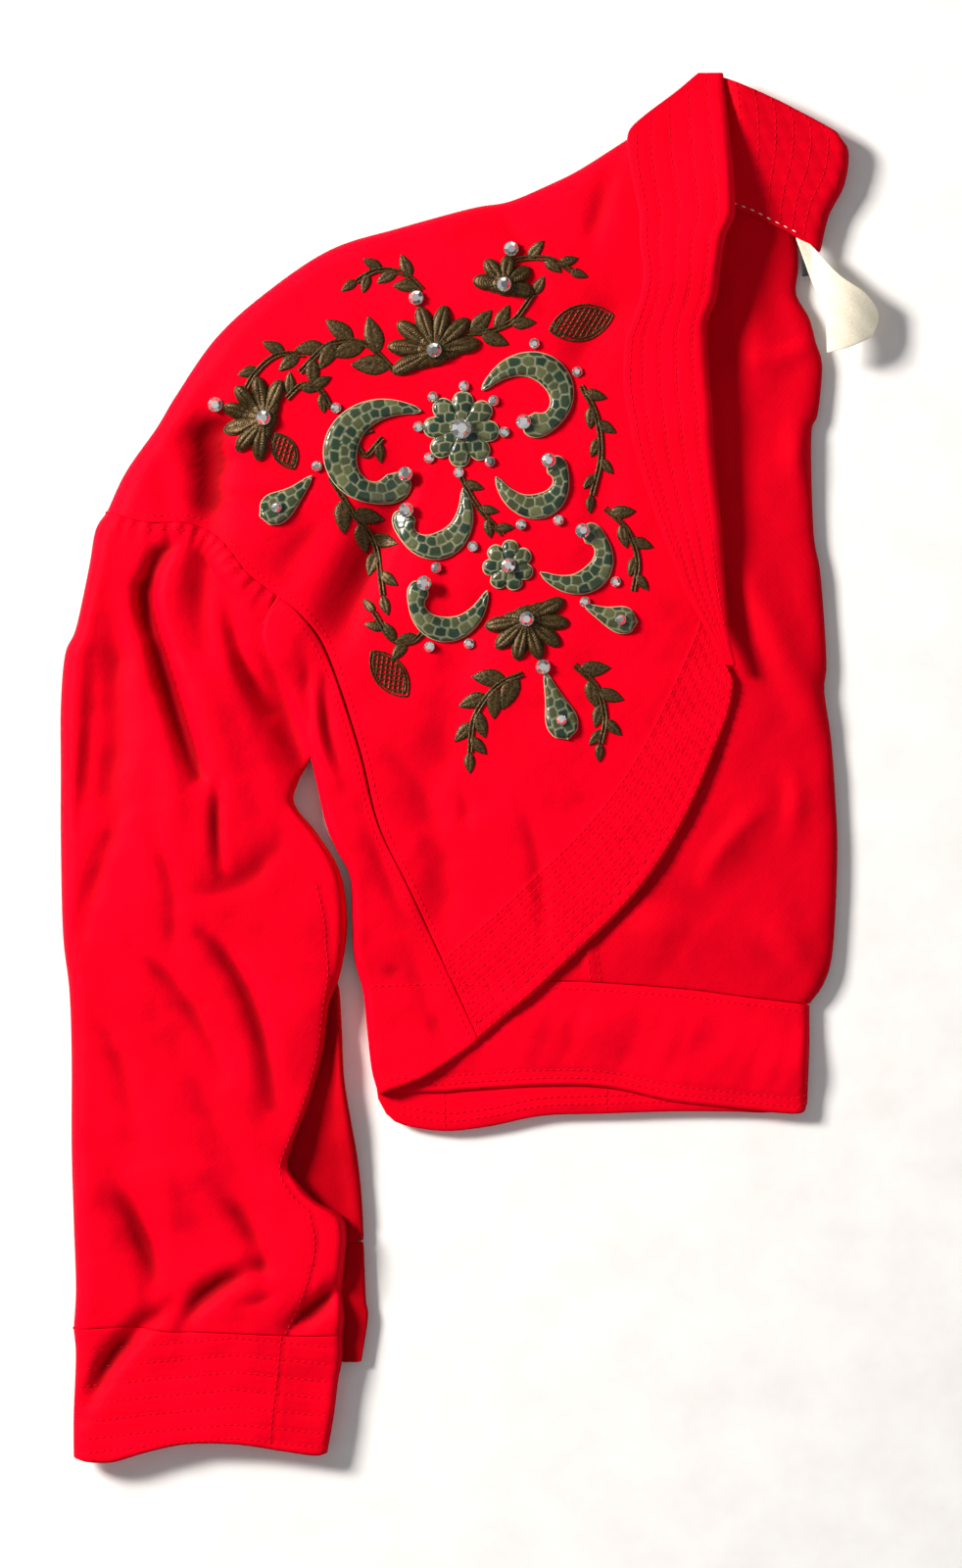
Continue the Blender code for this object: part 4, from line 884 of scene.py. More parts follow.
def grown(name, tree, settings, points, edges=(), sizes=None):
    # Runs a tree on a guide and keeps the result as a plain mesh
    guide = bpy.data.meshes.new(name + "Guide")
    guide.from_pydata(placed(points).tolist(), edges, [])
    if sizes is not None:
        carry(guide, "size", sizes * 0.001)
    holder = linked(name + "Guide", guide)
    modifier = holder.modifiers.new(name, "NODES")
    modifier.node_group = tree
    for item in tree.interface.items_tree:
        if item.in_out == "INPUT" and item.name in settings:
            modifier[item.identifier] = settings[item.name]
    mesh = bpy.data.meshes.new_from_object(holder.evaluated_get(bpy.context.evaluated_depsgraph_get()))
    bpy.data.objects.remove(holder)
    mesh.name = name
    return linked(name, mesh)


def joinedLines(lines):
    points = np.vstack(lines)
    edges, start = [], 0
    for line in lines:
        edges += [(k, k + 1) for k in range(start, start + len(line) - 1)]
        start += len(line)
    return points, edges


trees = dict(
    stitch=stitchTree(), cord=cordTree(),
    stone=settingTree("cutStones", crownPart, gem["tilt"]),
    claw=settingTree("clawSettings", clawPart, 0.0),
)


def sewn(name, lines, finish="redThread", pitch=3.1, length=2.5, thread=0.5):
    points, edges = joinedLines(lines)
    return grown(name, trees["stitch"], {
        "Pitch": pitch / 1000, "Stitch length": length / 1000, "Thread width": thread / 1000,
        "Material": finishes[finish],
    }, points, edges)


def corded(name, lines, finish, width):
    points, edges = joinedLines(lines)
    settings = {"Cord width": width / 1000, "Material": finishes[finish]}
    return grown(name, trees["cord"], settings, points, edges)


def raised(points, rise):
    return np.asarray(points, float) + (0, 0, rise)


def rideAll(slot, *pieces):
    for piece in pieces:
        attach(piece, "root")


def standFor(node, slot, piece):
    rideAll(slot, piece)
    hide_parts(node)
    return piece


# The panels


def measured(face):
    # The area and the two sizes of a laid sheet, in metres
    a, b, c, d = face[:-1, :-1], face[:-1, 1:], face[1:, 1:], face[1:, :-1]
    halves = (np.cross(b - a, c - a), np.cross(c - a, d - a))
    area = sum(np.linalg.norm(half, axis=-1).sum() for half in halves) / 2
    runs = [np.linalg.norm(np.diff(face, axis=k), axis=-1).sum(axis=k).max() for k in (0, 1)]
    return area * 1e-6, [run * 0.001 for run in runs]


# The cut of what shows: width and length of the cloth, its area, and what it rests on
sheets = dict(
    front_panel=(0.310, 0.310, 0.0700, "back_inside"), side_panel=(0.062, 0.255, 0.0075, "back_inside"),
    sleeve=(0.135, 0.392, 0.0480, "back_inside"), cuff=(0.135, 0.064, 0.0070, "back_inside"),
    back_inside=(0.310, 0.375, 0.0800), hem_band=(0.200, 0.055, 0.0100),
    collar_front=(0.060, 0.300, 0.0110, "front_panel"), collar_back=(0.062, 0.075, 0.0030, "back_inside"),
    care_label=(0.026, 0.056, 0.0009, "back_inside"),
)


def panel(node, name, face, finish="sateen", cloth=jacket["cloth"], plain=None, flat=()):
    piece = wall(name, face, cloth, finishes[finish], plain, flat)
    wide, long, area, *restsOn = sheets[node]
    size, (down, across) = measured(face)
    print(f"{name}: {size * 1e4:.0f} cm2 for {area * 1e4:.0f}, {across * 1e3:.0f} x {down * 1e3:.0f} mm")
    standFor(node, "cream_satin" if node == "care_label" else "red_sateen", piece)
    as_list(restsOn)
    return piece


# The quilted border of the front: how the rows puff and pucker
quilt = dict(
    rows=8, pitch=4.9, columns=6, rise=0.27, pucker=0.2, puckerLength=6.5, wander=1.3, start=1.2,
)
frontCut = dict(long=252.0, across=1.9, down=1.45, roll=9, foot=8.0, turn=0.9)


def quiltLift(across, run):
    # Rows of wadding between stitch lines, drawn up a little by the thread
    row = (across - quilt["start"]) / quilt["pitch"]
    inside = (row > 0) & (row < quilt["rows"])
    number = np.floor(row)
    puff = np.abs(np.sin(np.pi * row)) ** 0.7
    wave = math.tau * run / quilt["puckerLength"] + quilt["wander"] * number
    drawn = quilt["pucker"] * np.sin(wave + 1.1 * np.sin(run / 17 + number)) * (1 - 0.55 * puff)
    return np.where(inside, quilt["rise"] * puff + drawn, 0.0)


def frontFace():
    edges = (
        sewnEdge("turned", frontCut["turn"]), rolledEdge(frontCut["roll"], fallsTo(frontCut["foot"])),
        sewnEdge("seam"), sewnEdge("turned", 0),
    )
    closer = quilt["pitch"] / quilt["columns"] * np.arange(1, quilt["rows"] * quilt["columns"] + 3)
    sides = (shape["frontEdge"], shape["shoulder"], shape["frontSeam"], shape["underCollar"])
    xy, across = gridPlaces(sides, edges, frontCut["across"], frontCut["down"], frontCut["long"], closer)
    plain = laidCloth(xy, bodyTop, edges)
    face = plain.copy()
    face[..., 2] += quiltLift(across, runAlong(xy[:, 20])[:, None])
    return insetSeam(face, "bottom"), insetSeam(plain, "bottom")


frontFine, frontPlain = frontFace()
front = panel("front_panel", "frontPanel", frontFine, plain=frontPlain, flat=("bottom",))

sideSides = (shape["sideFold"], sideSeam, shape["sideHem"], shape["sideTop"])
sideFine = insetSeam(clothGrid(sideSides, bodyTop, (
    rolledEdge(4, fallsBy((169, 5.2), (296, 7.0), (312, 4.0), (330, 1.5), (396, 1.0))),
    sewnEdge("seam"), sewnEdge("turned"), openEdge,
), step=1.6), "right")
side = panel("side_panel", "sidePanel", sideFine, flat=("right",))

# The seam line that runs down the sleeve under the arm, with a row of stitches beside it
underarm = (
    (120, 264), (123, 251), (124, 239), (125, 224), (123, 211), (120, 188), (114, 166), (107, 148),
    (103, 136), (105, 128), (111, 120), (116, 116), (117, 112), (119, 101), (117, 88), (112, 73),
    (105, 58),
)
sleeveCut = dict(
    roll=8, foot=9.0, fold=4, pleat=6.3, pleatRise=0.5, pleatReach=8, headReach=12,
    falls=(
        (58, 5.0), (70, 6.0), (108, 8.0), (125, 4.0), (137, 2.5), (205, 2.5), (222, 5.0), (240, 7.5),
        (295, 7.5), (310, 3.0), (328, 0.6), (420, 0.6),
    ),
)


def grooveAlong(line, x, y, width, depth):
    return -depth * np.exp(-((nearestTo(smoothLine(line, 8), x, y)[0] / width) ** 2))


def sleeveHeight(x, y):
    # As high as the body at the armhole, with short pleats where the cloth is drawn in along it
    near, index = nearestTo(sleeveHead, x, y)
    own = np.clip(near / sleeveCut["headReach"], 0, 1) ** 2
    top = own * sleeveTop(x, y) + (1 - own) * bodyTop(x, y)
    run = runAlong(sleeveHead)[index]
    wave = np.sin(run * math.tau / sleeveCut["pleat"] + 1.3 * np.sin(run / 9))
    pleats = sleeveCut["pleatRise"] * wave * np.exp(-((near / sleeveCut["pleatReach"]) ** 2))
    return top + grooveAlong(underarm, x, y, width=1.3, depth=0.55) + pleats


sleeveSides = (shape["sleeveLeft"], shape["sleeveRight"], shape["cuffTop"], sleeveHead)
sleeveFine = clothGrid(sleeveSides, sleeveHeight, (
    rolledEdge(sleeveCut["roll"], fallsTo(sleeveCut["foot"])),
    rolledEdge(sleeveCut["fold"], fallsBy(*sleeveCut["falls"])), sewnEdge("seam"), sewnEdge("seam"),
), step=1.5)
sleeveFine = insetSeam(sleeveFine, "bottom", "top")
sleeve = panel("sleeve", "sleeveTopLayer", sleeveFine, flat=("bottom", "top"))

# Stitched rows on the cuff and on the hem band, this far from the end
cuffRows = dict(places=(2.6, 9.0, 17.0, 25.0, 33.0, 41.0, 49.0), depth=0.22)
hemRows = dict(places=(3.2, 6.8), depth=0.35)
cuffSeam = ((103, 57), (101, 37), (99, 21), (98, 9))


def cuffEnd(x):
    return np.interp(x, (6, 40, 80, 122), (1, 5, 8.5, 4))


def rowGrooves(fromEnd, rows):
    return -rows["depth"] * sum(np.exp(-(((fromEnd - place) / 0.9) ** 2)) for place in rows["places"])


def cuffHeight(x, y):
    seam = grooveAlong(cuffSeam, x, y, width=1.0, depth=0.4)
    return sleeveTop(x, y) + seam + rowGrooves(y - cuffEnd(x), cuffRows)


cuffSides = (shape["cuffLeft"], shape["cuffRight"], shape["cuffBottom"], shape["cuffTop"])
cuffFine = insetSeam(clothGrid(cuffSides, cuffHeight, (
    rolledEdge(8, fallsTo(8.4)), rolledEdge(4, fallsTo(9.0)), sewnEdge("turned"), sewnEdge("seam"),
), step=1.2), "top")
cuff = panel("cuff", "cuffPanel", cuffFine, cloth=jacket["doubled"], flat=("top",))

backSides = (shape["backLeft"], shape["backFold"], shape["hemSeam"], shape["backTop"])
backFine = insetSeam(clothGrid(backSides, backHeight, (
    openEdge, rolledEdge(7, fallsTo(4.4)), sewnEdge("seam"), openEdge,
), step=2.3), "bottom")
back = panel("back_inside", "backInside", backFine, "inside", flat=("bottom",))


def hemHeight(x, y):
    fromMiddle = y - np.interp(x, (151, 224, 343), (196, 197, 187))
    puff = 0.9 * np.exp(-((fromMiddle / 16) ** 4))
    groove = rowGrooves(y - np.interp(x, *zip(*shape["hemLower"])), hemRows)
    return jacket["backTop"] + puff + groove + 1.5 * ripple(x, y, "hem") * np.exp(-((fromMiddle / 18) ** 4))


hemLine = tuple((x, y - jacket["seamGap"]) for x, y in shape["hemSeam"])
hemSides = (
    (*shape["hemLeft"][:-1], hemLine[0]), (*shape["hemRight"][:-1], hemLine[-1]),
    shape["hemLower"], hemLine,
)
hemFine = clothGrid(hemSides, hemHeight, (
    openEdge, rolledEdge(5, fallsTo(4.6)), sewnEdge("turned"), sewnEdge("seam"),
), step=1.5)
hem = panel("hem_band", "hemBand", hemFine, cloth=jacket["doubled"], flat=("top",))

# The collar: a padded band in channels, turned back and rolled over
collar = dict(
    channels=5, columns=10, rise=0.26, roll=6.0, tip=361, deepens=35, shallow=0.3, belly=1.3,
    rows=230, cloth=2.0, foot=jacket["backTop"] + 2, pucker=0.08,
    heights=(  # y, then how high the outer edge and the crest stand there
        (361, 17.6, 17.6), (377, 18.0, 18.0), (401, 18.0, 18.2), (437, 18.6, 20.0), (482, 19.4, 22.0),
        (518, 22.5, 23.5), (540, 25.5, 26.5), (560, 25.0, 28.0), (586, 23.5, 27.0),
        (608, 21.0, 23.0), (625, 17.5, 18.5), (640, 14.5, 15.0),
    ),
    turn=((0.8, 0.0), (0.45, 0.04), (0.12, 0.16), (0.0, 0.42), (0.15, 0.72), (0.5, 1.0)),
)
outerLine, rollEnd = smoothLine(shape["collarOuter"]), smoothLine(shape["rollLine"])
lowPart = outerLine[outerLine[:, 1] < 600]  # up to where the band stands round the neck


def collarSides(y):
    return np.interp(y, *lowPart.T[::-1]), np.interp(y, *rollEnd.T[::-1])


def collarBay(x, y):
    # Which channel a point is in: they follow the outer edge and run straight out at the top
    outer, roll = collarSides(y)
    return (x - outer) / np.maximum(roll - outer, 1) * collar["channels"]


def channelLine(number):
    y = np.linspace(385, 634, 120)
    outer, roll = collarSides(y)
    line = np.column_stack([outer + (roll - outer) * number / collar["channels"], y])
    edge = np.interp(y, *outerLine.T[::-1])
    return line[line[:, 0] > edge + 1.5]


def collarFace():
    v = np.linspace(0, 1, collar["rows"])
    shares = np.linspace(0, 1, collar["channels"] * collar["columns"] + 1)
    places, outerHeights, rollHeights = zip(*collar["heights"])
    turn = smoothLine(collar["turn"], 4)[1:]
    fine, plain = [], []
    for start, end in zip(along(shape["collarOuter"], v), along(shape["rollLine"], v)):
        width = end[0] - start[0]
        edge = np.interp(start[1], places, outerHeights)
        crest = np.interp(end[1], places, rollHeights)
        radius = min(collar["roll"], 0.3 * width)
        deep = np.clip((end[1] - collar["tip"]) / collar["deepens"], collar["shallow"], 1)
        fall = deep * (crest - collar["foot"])
        heights = edge + (crest - edge) * (shares * (1 - radius / width)) ** collar["belly"]
        spots = [start + (end - start) * s * (1 - radius / width) for s in shares]
        bay = collarBay(*np.array(spots).T)
        puff = 1 - np.exp(-((bay - np.round(bay)) * 9 / 1.1) ** 2)
        pucker = collar["pucker"] * np.sin(start[1] * 0.83 + 1.7 * np.floor(bay)) * (1 - 0.6 * puff)
        lift = (collar["rise"] * puff + pucker) * min(1, width / 16)
        over = [(end[0] - d * radius, end[1], crest - f * fall) for d, f in turn]
        plain.append([(*spot, h) for spot, h in zip(spots, heights)] + over)
        fine.append([(*spot, h + r) for spot, h, r in zip(spots, heights, lift)] + over)
    return np.array(fine), np.array(plain)


def smoothRows(face, passes):
    for _ in range(passes):
        face[1:-1] = (face[:-2] + 2 * face[1:-1] + face[2:]) / 4
    return face


collarFine, collarPlain = (smoothRows(face, 3) for face in collarFace())
narrow = np.clip((collarPlain[:, -8, 0] - collarPlain[:, 0, 0] + 5) / 20, 0.3, 1)  # thinner at its tip
collarCloth = collar["cloth"] * narrow[:, None, None]
collarFront = panel("collar_front", "collarFront", collarFine, cloth=collarCloth, plain=collarPlain)
bpy.data.objects["collar_stand"].material_slots[0].material = finishes["inside"]

band = dict(
    left=((307.8, 577.5), (307.4, 600), (305.6, 616), (303.4, 636)),
    right=((349, 556.5), (353, 573), (360, 587), (362, 602), (358, 609)),
    neck=((307.8, 577.5), (318, 573.6), (327, 569), (336, 564.6), (342, 560.5), (349, 556.5)),
    top=((303.4, 636), (329, 625), (354, 612), (358, 609)),
    base=1.6, dip=5.0, channel=7.4, channelRise=0.22, roll=6, falls=((556, 2.5), (575, 4.5), (610, 4.5)),
)


def bandHeight(x, y):
    # It rises away from the neck seam, and dips where the collar's roll lies over it
    lift = np.clip(0.07 * (y - 560) + 0.03 * (350 - x), 0, 7)
    rows = band["channelRise"] * np.abs(np.cos((x + 0.45 * y) * math.pi / band["channel"])) ** 0.6
    under = np.clip(1 - (x - collarSides(y)[1] + 1) / 9, 0, 1) ** 2 * np.clip((y - 590) / 30, 0, 1)
    return jacket["backTop"] + band["base"] + lift + rows - band["dip"] * under + 0.1 * np.sin(0.9 * y)


bandFine = clothGrid((band["left"], band["right"], band["neck"], band["top"]), bandHeight, (
    openEdge, rolledEdge(band["roll"], fallsBy(*band["falls"])), openEdge, sewnEdge("turned"),
), step=1.1)
collarBack = panel("collar_back", "collarBack", bandFine, "inside")

tag = dict(
    left=((352, 509.5), (351, 527), (345, 543), (338, 562.4)),
    right=((373, 517), (375.6, 527), (370, 536), (357, 545), (344.5, 559.2)),
    bottom=((352, 509.5), (362, 512), (373, 517)), top=((338, 562.4), (344.5, 559.2)),
    base=2.3, curl=5, cloth=0.5,
)
tab = dict(
    left=((341, 545), (340.5, 560)), right=((348, 546), (347, 557)),
    bottom=((341, 545), (348, 546)), top=((340.5, 560), (347, 557)), base=1.2, cloth=0.7,
)


def tagHeight(x, y):
    curl = tag["curl"] * np.sin(np.clip((x - 345) / 32, 0, 1) * math.pi)
    return jacket["backTop"] + tag["base"] + curl + 0.15 * np.sin(0.5 * (x + y))


def tabHeight(x, y):
    return np.full(np.shape(x), jacket["backTop"] + tab["base"])


tagFine, tabFine = (
    clothGrid([cut[key] for key in ("left", "right", "bottom", "top")], height, (openEdge,) * 4, step)
    for cut, height, step in ((tag, tagHeight, 1.1), (tab, tabHeight, 1.0))
)
panel("care_label", "careTag", tagFine, "ribbon", tag["cloth"])
standFor("neck_label", "black_tape", wall("neckTab", tabFine, tab["cloth"], finishes["tape"]))
print("panels made")

# The hidden layers underneath, each one solid with a rounded rim for every layer
layerRims = ((6.0, 4.1), (3.9, 2.1), (1.9, 0.0))


def pileOf(node, name, sides, height, rims=layerRims, out=1.5, finish="sateen", step=4.0):
    left, right, bottom, top = sides
    tall = int(lineLength(smoothLine(left)) / step)
    wide = int(max(np.linalg.norm(np.subtract(right[0], left[0])), 12) / step) + 6
    v, u = np.meshgrid(np.linspace(0, 1, tall), np.linspace(0, 1, wide), indexing="ij")
    xy = fourSides(*sides, u, v)
    points = [np.dstack([xy, height(xy[..., 0], xy[..., 1])]).reshape(-1, 3)]
    loop = loopRound(tall, wide)
    line = points[0][loop]
    normal = outwards(line[:, :2])
    rings = []
    for index, (upper, lower) in enumerate(rims):
        for angle in np.radians((55, 90, 125, 165) if index < len(rims) - 1 else (55, 90, 130)):
            level = (upper + lower) / 2 + (upper - lower) / 2 * math.cos(angle)
            rings.append((out * (1 - 0.12 * index) * math.sin(angle), level))
    faces, ring = [cells(tall, wide)], loop
    for k, (reach, level) in enumerate((*rings, (0.3, 0.0))):
        points.append(np.column_stack([line[:, :2] + reach * normal, np.full(len(loop), level)]))
        following = np.arange(len(loop)) + tall * wide + k * len(loop)
        faces.append(strip(ring, following))
        ring = following
    allFaces = [tuple(f) for f in np.vstack(faces)] + [tuple(following[::-1])]
    standFor(node, "red_sateen", newPiece(name, np.vstack(points), allFaces, finishes[finish]))


def roomUnder(height, x, y, look, gap):
    lowest = lowestNear(height, x, y, [(dx, dy) for dx in (-look, 0, look) for dy in (-look, 0, look)])
    return np.maximum(lowest - jacket["cloth"] - gap, jacket["pileTop"])


hidden = dict(
    bodyLeft=(
        (147, 167), (145, 182), (143, 197), (142, 216), (140, 235), (139, 255), (138, 269),
        (133, 283), (128, 295), (123, 311), (115, 332), (107, 352), (100, 368), (97, 380),
        (96, 390), (89, 402), (75, 424), (59, 434), (33, 443),
    ),
    bodyRight=(
        (334, 164), (334, 190), (335, 210), (341, 224), (348, 236), (350, 278), (349, 306),
        (347, 333), (344, 354), (345, 366), (344, 386), (342, 410), (339, 428), (338, 472),
        (341, 482), (343, 504), (340, 515), (337, 526), (331, 537), (332, 549), (330, 563),
    ),
    bodyTop=(
        (33, 443), (61, 482), (87, 513), (114, 533), (158, 553), (207, 565), (253, 587),
        (281, 589), (307, 571), (330, 563),
    ),
    farHem=(
        (147, 167), (150, 161), (157, 156), (176, 153), (196, 155), (221, 160), (249, 161),
        (280, 162), (306, 162), (326, 161.5), (334, 164),
    ),
    sleeveLeft=(
        (8.5, 4), (8, 30), (9, 61), (9.5, 80), (8.5, 110), (7.5, 145), (7.5, 185), (6.5, 216),
        (3.5, 243), (2.5, 287), (2.5, 317), (2.5, 347), (4.5, 371), (9.5, 383), (15.5, 411),
        (22, 426),
    ),
    sleeveRight=(
        (120, 5), (123, 21), (125, 37), (125, 60), (125, 95), (117, 108), (101, 119), (93, 134),
        (96, 150), (103, 170), (109, 190), (113, 207), (119, 222), (125, 240), (125, 260),
        (120, 273), (111, 287), (102, 300), (103, 314), (103, 328), (96, 350), (87, 368),
        (81, 380), (79, 390), (76, 398),
    ),
    sleeveBottom=((8.5, 4), (24, 2.5), (40, 7), (58, 10.5), (80, 10.5), (101, 7.5), (120, 5)),
    sleeveTop=((22, 426), (42, 415), (60, 412), (76, 398)),
    farSleeveLeft=(
        (126.5, 102), (121, 113), (107, 124), (99, 137), (101, 150), (107, 168), (113, 188),
        (117, 206), (122, 218),
    ),
    farSleeveRight=(
        (138, 102), (137, 122), (135, 140), (132, 157), (129, 176), (128, 197), (127, 214),
        (126, 220),
    ),
    farCuffLeft=((129, 46), (128.5, 70), (128, 99.5)),
    farCuffRight=((137, 46), (140, 66), (139, 74), (138, 99.5)),
    farTop=5.6, farOut=1.0, farStep=1.6,
    farRims=((5.6, 3.4), (3.2, 0.0)),
    ridge=((126, 214), (130, 168), (136, 112), 3.4, 3.0),
    gap=0.8,
)
sleeveOutline = closedOutline(
    shape["cuffBottom"], shape["cuffRight"], shape["sleeveRight"], sleeveHead[::-1],
    shape["sleeveLeft"][::-1], shape["cuffLeft"][::-1],
)


def stripSides(left, right):
    left, right = hidden[left], hidden[right]
    return left, right, (left[0], right[0]), (left[-1], right[-1])


def farHalfHeight(x, y):
    return roomUnder(backHeight, x, y, 8, hidden["gap"]) + 0.5 * np.abs(ripple(x, y, "farHem")) * (y < 175)


def underSleeve(x, y):
    inset, reach = backLie["inset"], backLie["reach"]
    under = eased(np.clip((insideDistance(x, y, sleeveOutline) - inset) / reach, 0, 1))
    return (1 - under) * jacket["pileTop"] + under * roomUnder(sleeveTop, x, y, 6, hidden["gap"])


def farSleeveHeight(x, y):
    return hidden["farTop"] + foldHeight(x, y, hidden["ridge"]) + ripple(x, y, "farSleeve")


def farCuffHeight(x, y):
    return hidden["farTop"] + ripple(x, y, "farCuff")


for node, name, sides, height in (
    ("far_half_body", "farHalfLayers", ("bodyLeft", "bodyRight", "farHem", "bodyTop"), farHalfHeight),
    ("sleeve_layers", "sleeveUnderLayers",
     ("sleeveLeft", "sleeveRight", "sleeveBottom", "sleeveTop"), underSleeve),
):
    pileOf(node, name, [hidden[side] for side in sides], height)
# The far sleeve and cuff strips take the sateen darkened as painted shade
for node, name, sides, height in (
    ("far_sleeve", "farSleeveStrip", stripSides("farSleeveLeft", "farSleeveRight"), farSleeveHeight),
    ("far_cuff", "farCuffStrip", stripSides("farCuffLeft", "farCuffRight"), farCuffHeight),
):
    pileOf(node, name, sides, height, hidden["farRims"], hidden["farOut"], "under", hidden["farStep"])
print("hidden layers made")

# The raised design on the front: leather scrolls and rosettes, thread fans, stones in claws


def treeOf(*pieces):
    corners, faces = [], []
    for piece in pieces:
        start = len(corners)
        corners += [v.co * 1000 for v in piece.data.vertices]
        faces += [tuple(start + i for i in f.vertices) for f in piece.data.polygons]
    return BVHTree.FromPolygons(corners, faces)


def heightOn(tree, x, y):
    # The height of the uppermost cloth at a place, or None beside it
    above = Vector((x - jacket["middle"][0], y - jacket["middle"][1], 100))
    hit = tree.ray_cast(above, Vector((0, 0, -1)))[0]
    return None if hit is None else hit.z


frontTree = treeOf(front)


def onFront(points, beside=8.0):
    # The height of the front's outer face under each point
    heights = [heightOn(frontTree, x, y) for x, y in np.reshape(points, (-1, 2))]
    return np.reshape([beside if z is None else z for z in heights], np.shape(points)[:-1])


design = dict(
    middle=(184, 474), lean=19.0,  # its axis leans to the right of straight down
    base=0.1, edge=1.0, rise=2.9,  # above the cloth: underside, cut edge, middle
    widths=dict(
        scroll=((0, 0.14), (0.25, 0.7), (0.5, 1.0), (0.78, 0.62), (0.92, 0.85), (1, 0.35)),
        drop=((0, 0.1), (0.35, 0.5), (0.7, 1.0), (0.9, 0.8), (1, 0.3)),
    ),
    stations=dict(scroll=14, drop=9), curl=1.4,  # over 1, a scroll turns most at its end
    every=0.55, roundEnd=2.5, thinFrom=3.5,  # mm along a ribbon, and half widths it thins below
    netDepth=dict(ribbon=0.4, rosette=0.35),
    spread=dict(palmette=230.0, rosette=360.0),
    gaps=dict(palmette=(0.45, 0.35), rosette=(0.6, 0.5)),  # between its points, round and outwards
    motifs=(  # name, kind, down, out, heading, length or radius, turn or lobes, half width
        ("rosette_middle", "rosette", 0, 0, 0, 17, 8, 0),
        ("rosette_low", "rosette", 66, 0, 0, 11.5, 7, 0),
        ("palmette_top", "palmette", -38, 0, 180, 21, 7, 0),
        ("palmette_low", "palmette", 92, 0, 0, 19, 7, 0),
        ("palmette_shoulder", "palmette", -34, -84, -125, 19, 7, 0),
        ("palmette_neck", "palmette", -56, 40, 150, 14, 5, 0),
        ("scroll_upper_left", "scroll", -14, -15, -118, 92, 270, 7.5),
        ("scroll_upper_right", "scroll", -14, 15, 118, 74, -270, 6.5),
        ("scroll_middle_left", "scroll", 26, -8, -10, 60, -230, 6.0),
        ("scroll_middle_right", "scroll", 26, 8, 10, 54, 230, 5.5),
        ("scroll_foot_left", "scroll", 74, -13, -40, 58, -220, 5.5),
        ("scroll_foot_right", "scroll", 74, 13, 40, 54, 220, 5.5),
        ("drop_low", "drop", 118, 0, 0, 32, 0, 7.0),
        ("drop_shoulder", "drop", -2, -72, -60, 30, -30, 7.0),
        ("drop_collar", "drop", 94, 27, 42, 26, 30, 6.0),
    ),
)


def onAxis(down, out):
    lean = math.radians(design["lean"])
    x = design["middle"][0] + down * math.sin(lean) + out * math.cos(lean)
    y = design["middle"][1] - down * math.cos(lean) + out * math.sin(lean)
    return np.stack([x, y], axis=-1)


def fromMiddle(row, reach, turn=0):
    # A place this far from a motif's middle, turned from its heading
    heading = np.radians(row[4] + turn)
    return onAxis(row[2] + reach * np.cos(heading), row[3] + reach * np.sin(heading))


def scaleCells(s, t, seed):
    # Uneven bricks with rounded corners: the tone of each and how near its border is
    size, square, uneven = leather["cellMm"], 3.2, leather["uneven"]
    draw = np.random.default_rng(seed)
    jitter, tones = draw.uniform(-uneven, uneven, (64, 64, 2)), draw.uniform(0, 1, (64, 64))
    u, v = s / (size * leather["brick"]), t / size
    row = np.floor(v).astype(int)
    first, second, tone = np.full(u.shape, 9.0), np.full(u.shape, 9.0), np.zeros(u.shape)
    for r in (row - 1, row, row + 1):
        shift = 0.5 * (r % 2)
        for step in (-1, 0, 1, 2):
            c = np.floor(u - shift).astype(int) + step
            near = jitter[r % 64, c % 64]
            alongRow, acrossRow = u - (c + shift + 0.5 + near[..., 0]), v - (r + 0.5 + near[..., 1])
            gap = (np.abs(alongRow) ** square + np.abs(acrossRow) ** square) ** (1 / square)
            closer = gap < first
            second = np.where(closer, first, np.minimum(second, gap))
            tone = np.where(closer, tones[r % 64, c % 64], tone)
            first = np.where(closer, gap, first)
    border = (second - first) * size / 2
    return tone, np.clip(1 - border / leather["netMm"], 0, 1)


def motifPiece(row, points, faces, flip, leatherLook, outline):
    # Bronze thread unless it has the look of leather, and its outline as a closed line
    finish = "leather" if leatherLook else "bronze"
    faces = [f[::-1] for f in faces] if flip else faces
    piece = newPiece("motif_" + row[0], points, faces, finishes[finish])
    for label, values in leatherLook.items():
        carry(piece.data, label, values)
    standFor("applique_" + row[0], "embossed_leather" if leatherLook else "bronze_thread", piece)
    return np.vstack([outline, outline[:1]])


def spreadOut(coarse, rows, columns):
    # Values between the points of a coarse grid
    r = np.clip(rows, 0, coarse.shape[0] - 1)
    c = np.clip(columns, 0, coarse.shape[1] - 1)
    r0, c0 = np.minimum(r.astype(int), coarse.shape[0] - 2), np.minimum(c.astype(int), coarse.shape[1] - 2)
    a, b = (r - r0)[:, None], (c - c0)[None, :]
    top = coarse[r0][:, c0] * (1 - b) + coarse[r0][:, c0 + 1] * b
    low = coarse[r0 + 1][:, c0] * (1 - b) + coarse[r0 + 1][:, c0 + 1] * b
    return top * (1 - a) + low * a


